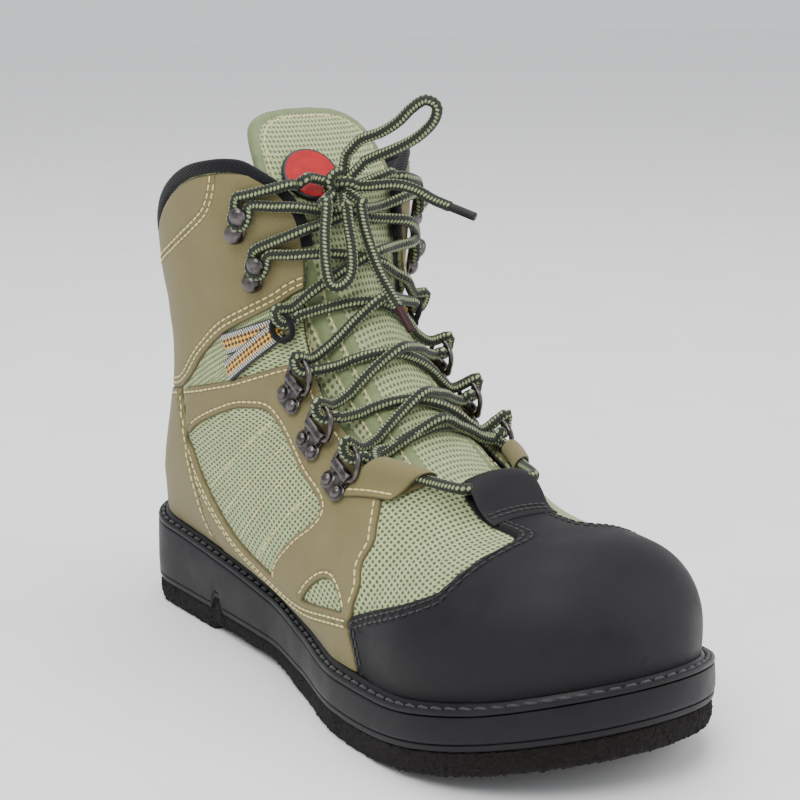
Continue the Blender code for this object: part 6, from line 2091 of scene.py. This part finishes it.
binding = dress(makeBinding(), blackCloth, "black_cloth", "collar_binding")
tongue = dress(makeTongue(), tonguePadCloth(), "mesh", "tongue")
dress(makePullLoop(), blackCloth, "black_cloth", "pull_loop")
padRings = [(0.02, 0), (0.5, 0), (0.98, 0), (1.0, 0.25), (1.0, 0.6), (0.97, 0.88), (0.92, 1.0), (0.86, 1.0),
            (0.80, 0.86), (0.6, 0.84),
            (0.3, 0.84), (0.02, 0.84)]
badge = padOn("tongueBadge", treeOf([tongue]), Vector((0.112, -0.0120, 0.2010)), Vector((-1, 0, 0)),
              (0.0125, 0.0125), 0.0022, padRings)
dress(badge, badgeRubber(), "badge_red", "tongue_badge")
heelPatch = padOn("heelPatchPad", form, Vector((0, 0, 0.104)), Vector((1, 0, 0)), (0.013, 0.016), 0.0013,
                  padRings, 0.0018)
dress(heelPatch, blackCloth, "black_cloth", "heel_patch")
tab = dress(makeToeTab(), capRubber, "cap_rubber", "toe_tab")
print("soft parts made")

plateModel, ringModel, hookModel, drainModel = modelPlate(), modelRing(), modelHook(), modelDrain()
straps = []
for side, word in ((-1, "lateral"), (1, "medial")):
    label = word.capitalize()
    straps.append(dress(makeStrapLoop(side, label), nubuck, "nubuck", "strap_loop_" + word))
    dress(makeWebbing(side, label), webbing, "webbing", "webbing_" + word)
    rings = hooks = 0
    for kind, along, up in laceSettings["levels"]:
        matrix = seat(along, up, side)
        if kind == "ring":
            rings += 1
            tail = word + "_" + str(rings)
            dress(copyTo(plateModel, "plate" + label + str(rings), matrix), metal, "black_metal",
                  "ring_plate_" + tail)
            dress(copyTo(ringModel, "ring" + label + str(rings), matrix), metal, "black_metal",
                  "lace_ring_" + tail)
        elif kind == "hook":
            hooks += 1
            dress(copyTo(hookModel, "hook" + label + str(hooks), matrix), metal, "black_metal",
                  "hook_" + word + "_" + str(hooks))
        else:
            s = webbingRing
            points = [matrix @ Vector((s["radius"] * math.cos(a), s["shift"] + s["radius"] * math.sin(a),
                                       0.0039 + tilt * max(math.sin(a), 0)))
                                       for a in np.linspace(0, 2 * math.pi, 17)[:-1]]
            ring = tubeMesh("webbingRing" + label, smoothRoute(points, 0.001, True), s["wire"] / 2, 14, True)
            dress(ring, blackCloth, "black_cloth", "webbing_ring_" + word)
for number, (along, up) in enumerate(((0.398, 0.215), (0.485, 0.196))):
    eyelet = copyTo(drainModel, "drainEyelet" + str(number + 1), seat(along, up, 1))
    dress(eyelet, wallRubber, "drain_rubber", "drain_eyelet_" + str(number + 1))
for model in (plateModel, ringModel, hookModel, drainModel):
    bpy.data.objects.remove(model)
print("hardware made")

left, right = laceHalf(-1), laceHalf(1)
run = tubeMesh("laceRun", smoothRoute(left[::-1] + right[1:]), boot["laceDiameter"] / 2, 14, False, 1.0, 0.02)
crossings = ["lace_cross_" + str(n) for n in range(1, 7)]
dress(run, lace, "lace", "lace_toe_bar", "lace_top_bar_lateral", "lace_top_bar_medial", *crossings)
knot = tubeMesh("laceKnot", smoothRoute(wrapKnot(), 0.0008, True), boot["laceDiameter"] / 2, 14, True)
dress(knot, lace, "lace", "lace_knot")
print("laces made")

creamStitches = StitchBox("creamStitches", stitchSettings["long"], stitchSettings["thick"])
blackStitches = StitchBox("blackStitches", stitchSettings["long"], stitchSettings["thick"])
sewUpper(creamStitches, blackStitches, treeOf([skin, quarter, counter, cuff, cap]))
weltStitches = StitchBox("weltStitches", stitchSettings["weltLong"], stitchSettings["weltThick"])
sewWelt(weltStitches)
sewTongue(creamStitches)
sewStraps(creamStitches, straps)
sewTab(blackStitches, tab)
dress(creamStitches.finish(), creamThread, "lace")
dress(blackStitches.finish(), blackThread, "black_cloth")
dress(weltStitches.finish(), weltThread, "black_cloth")
print("stitches made")
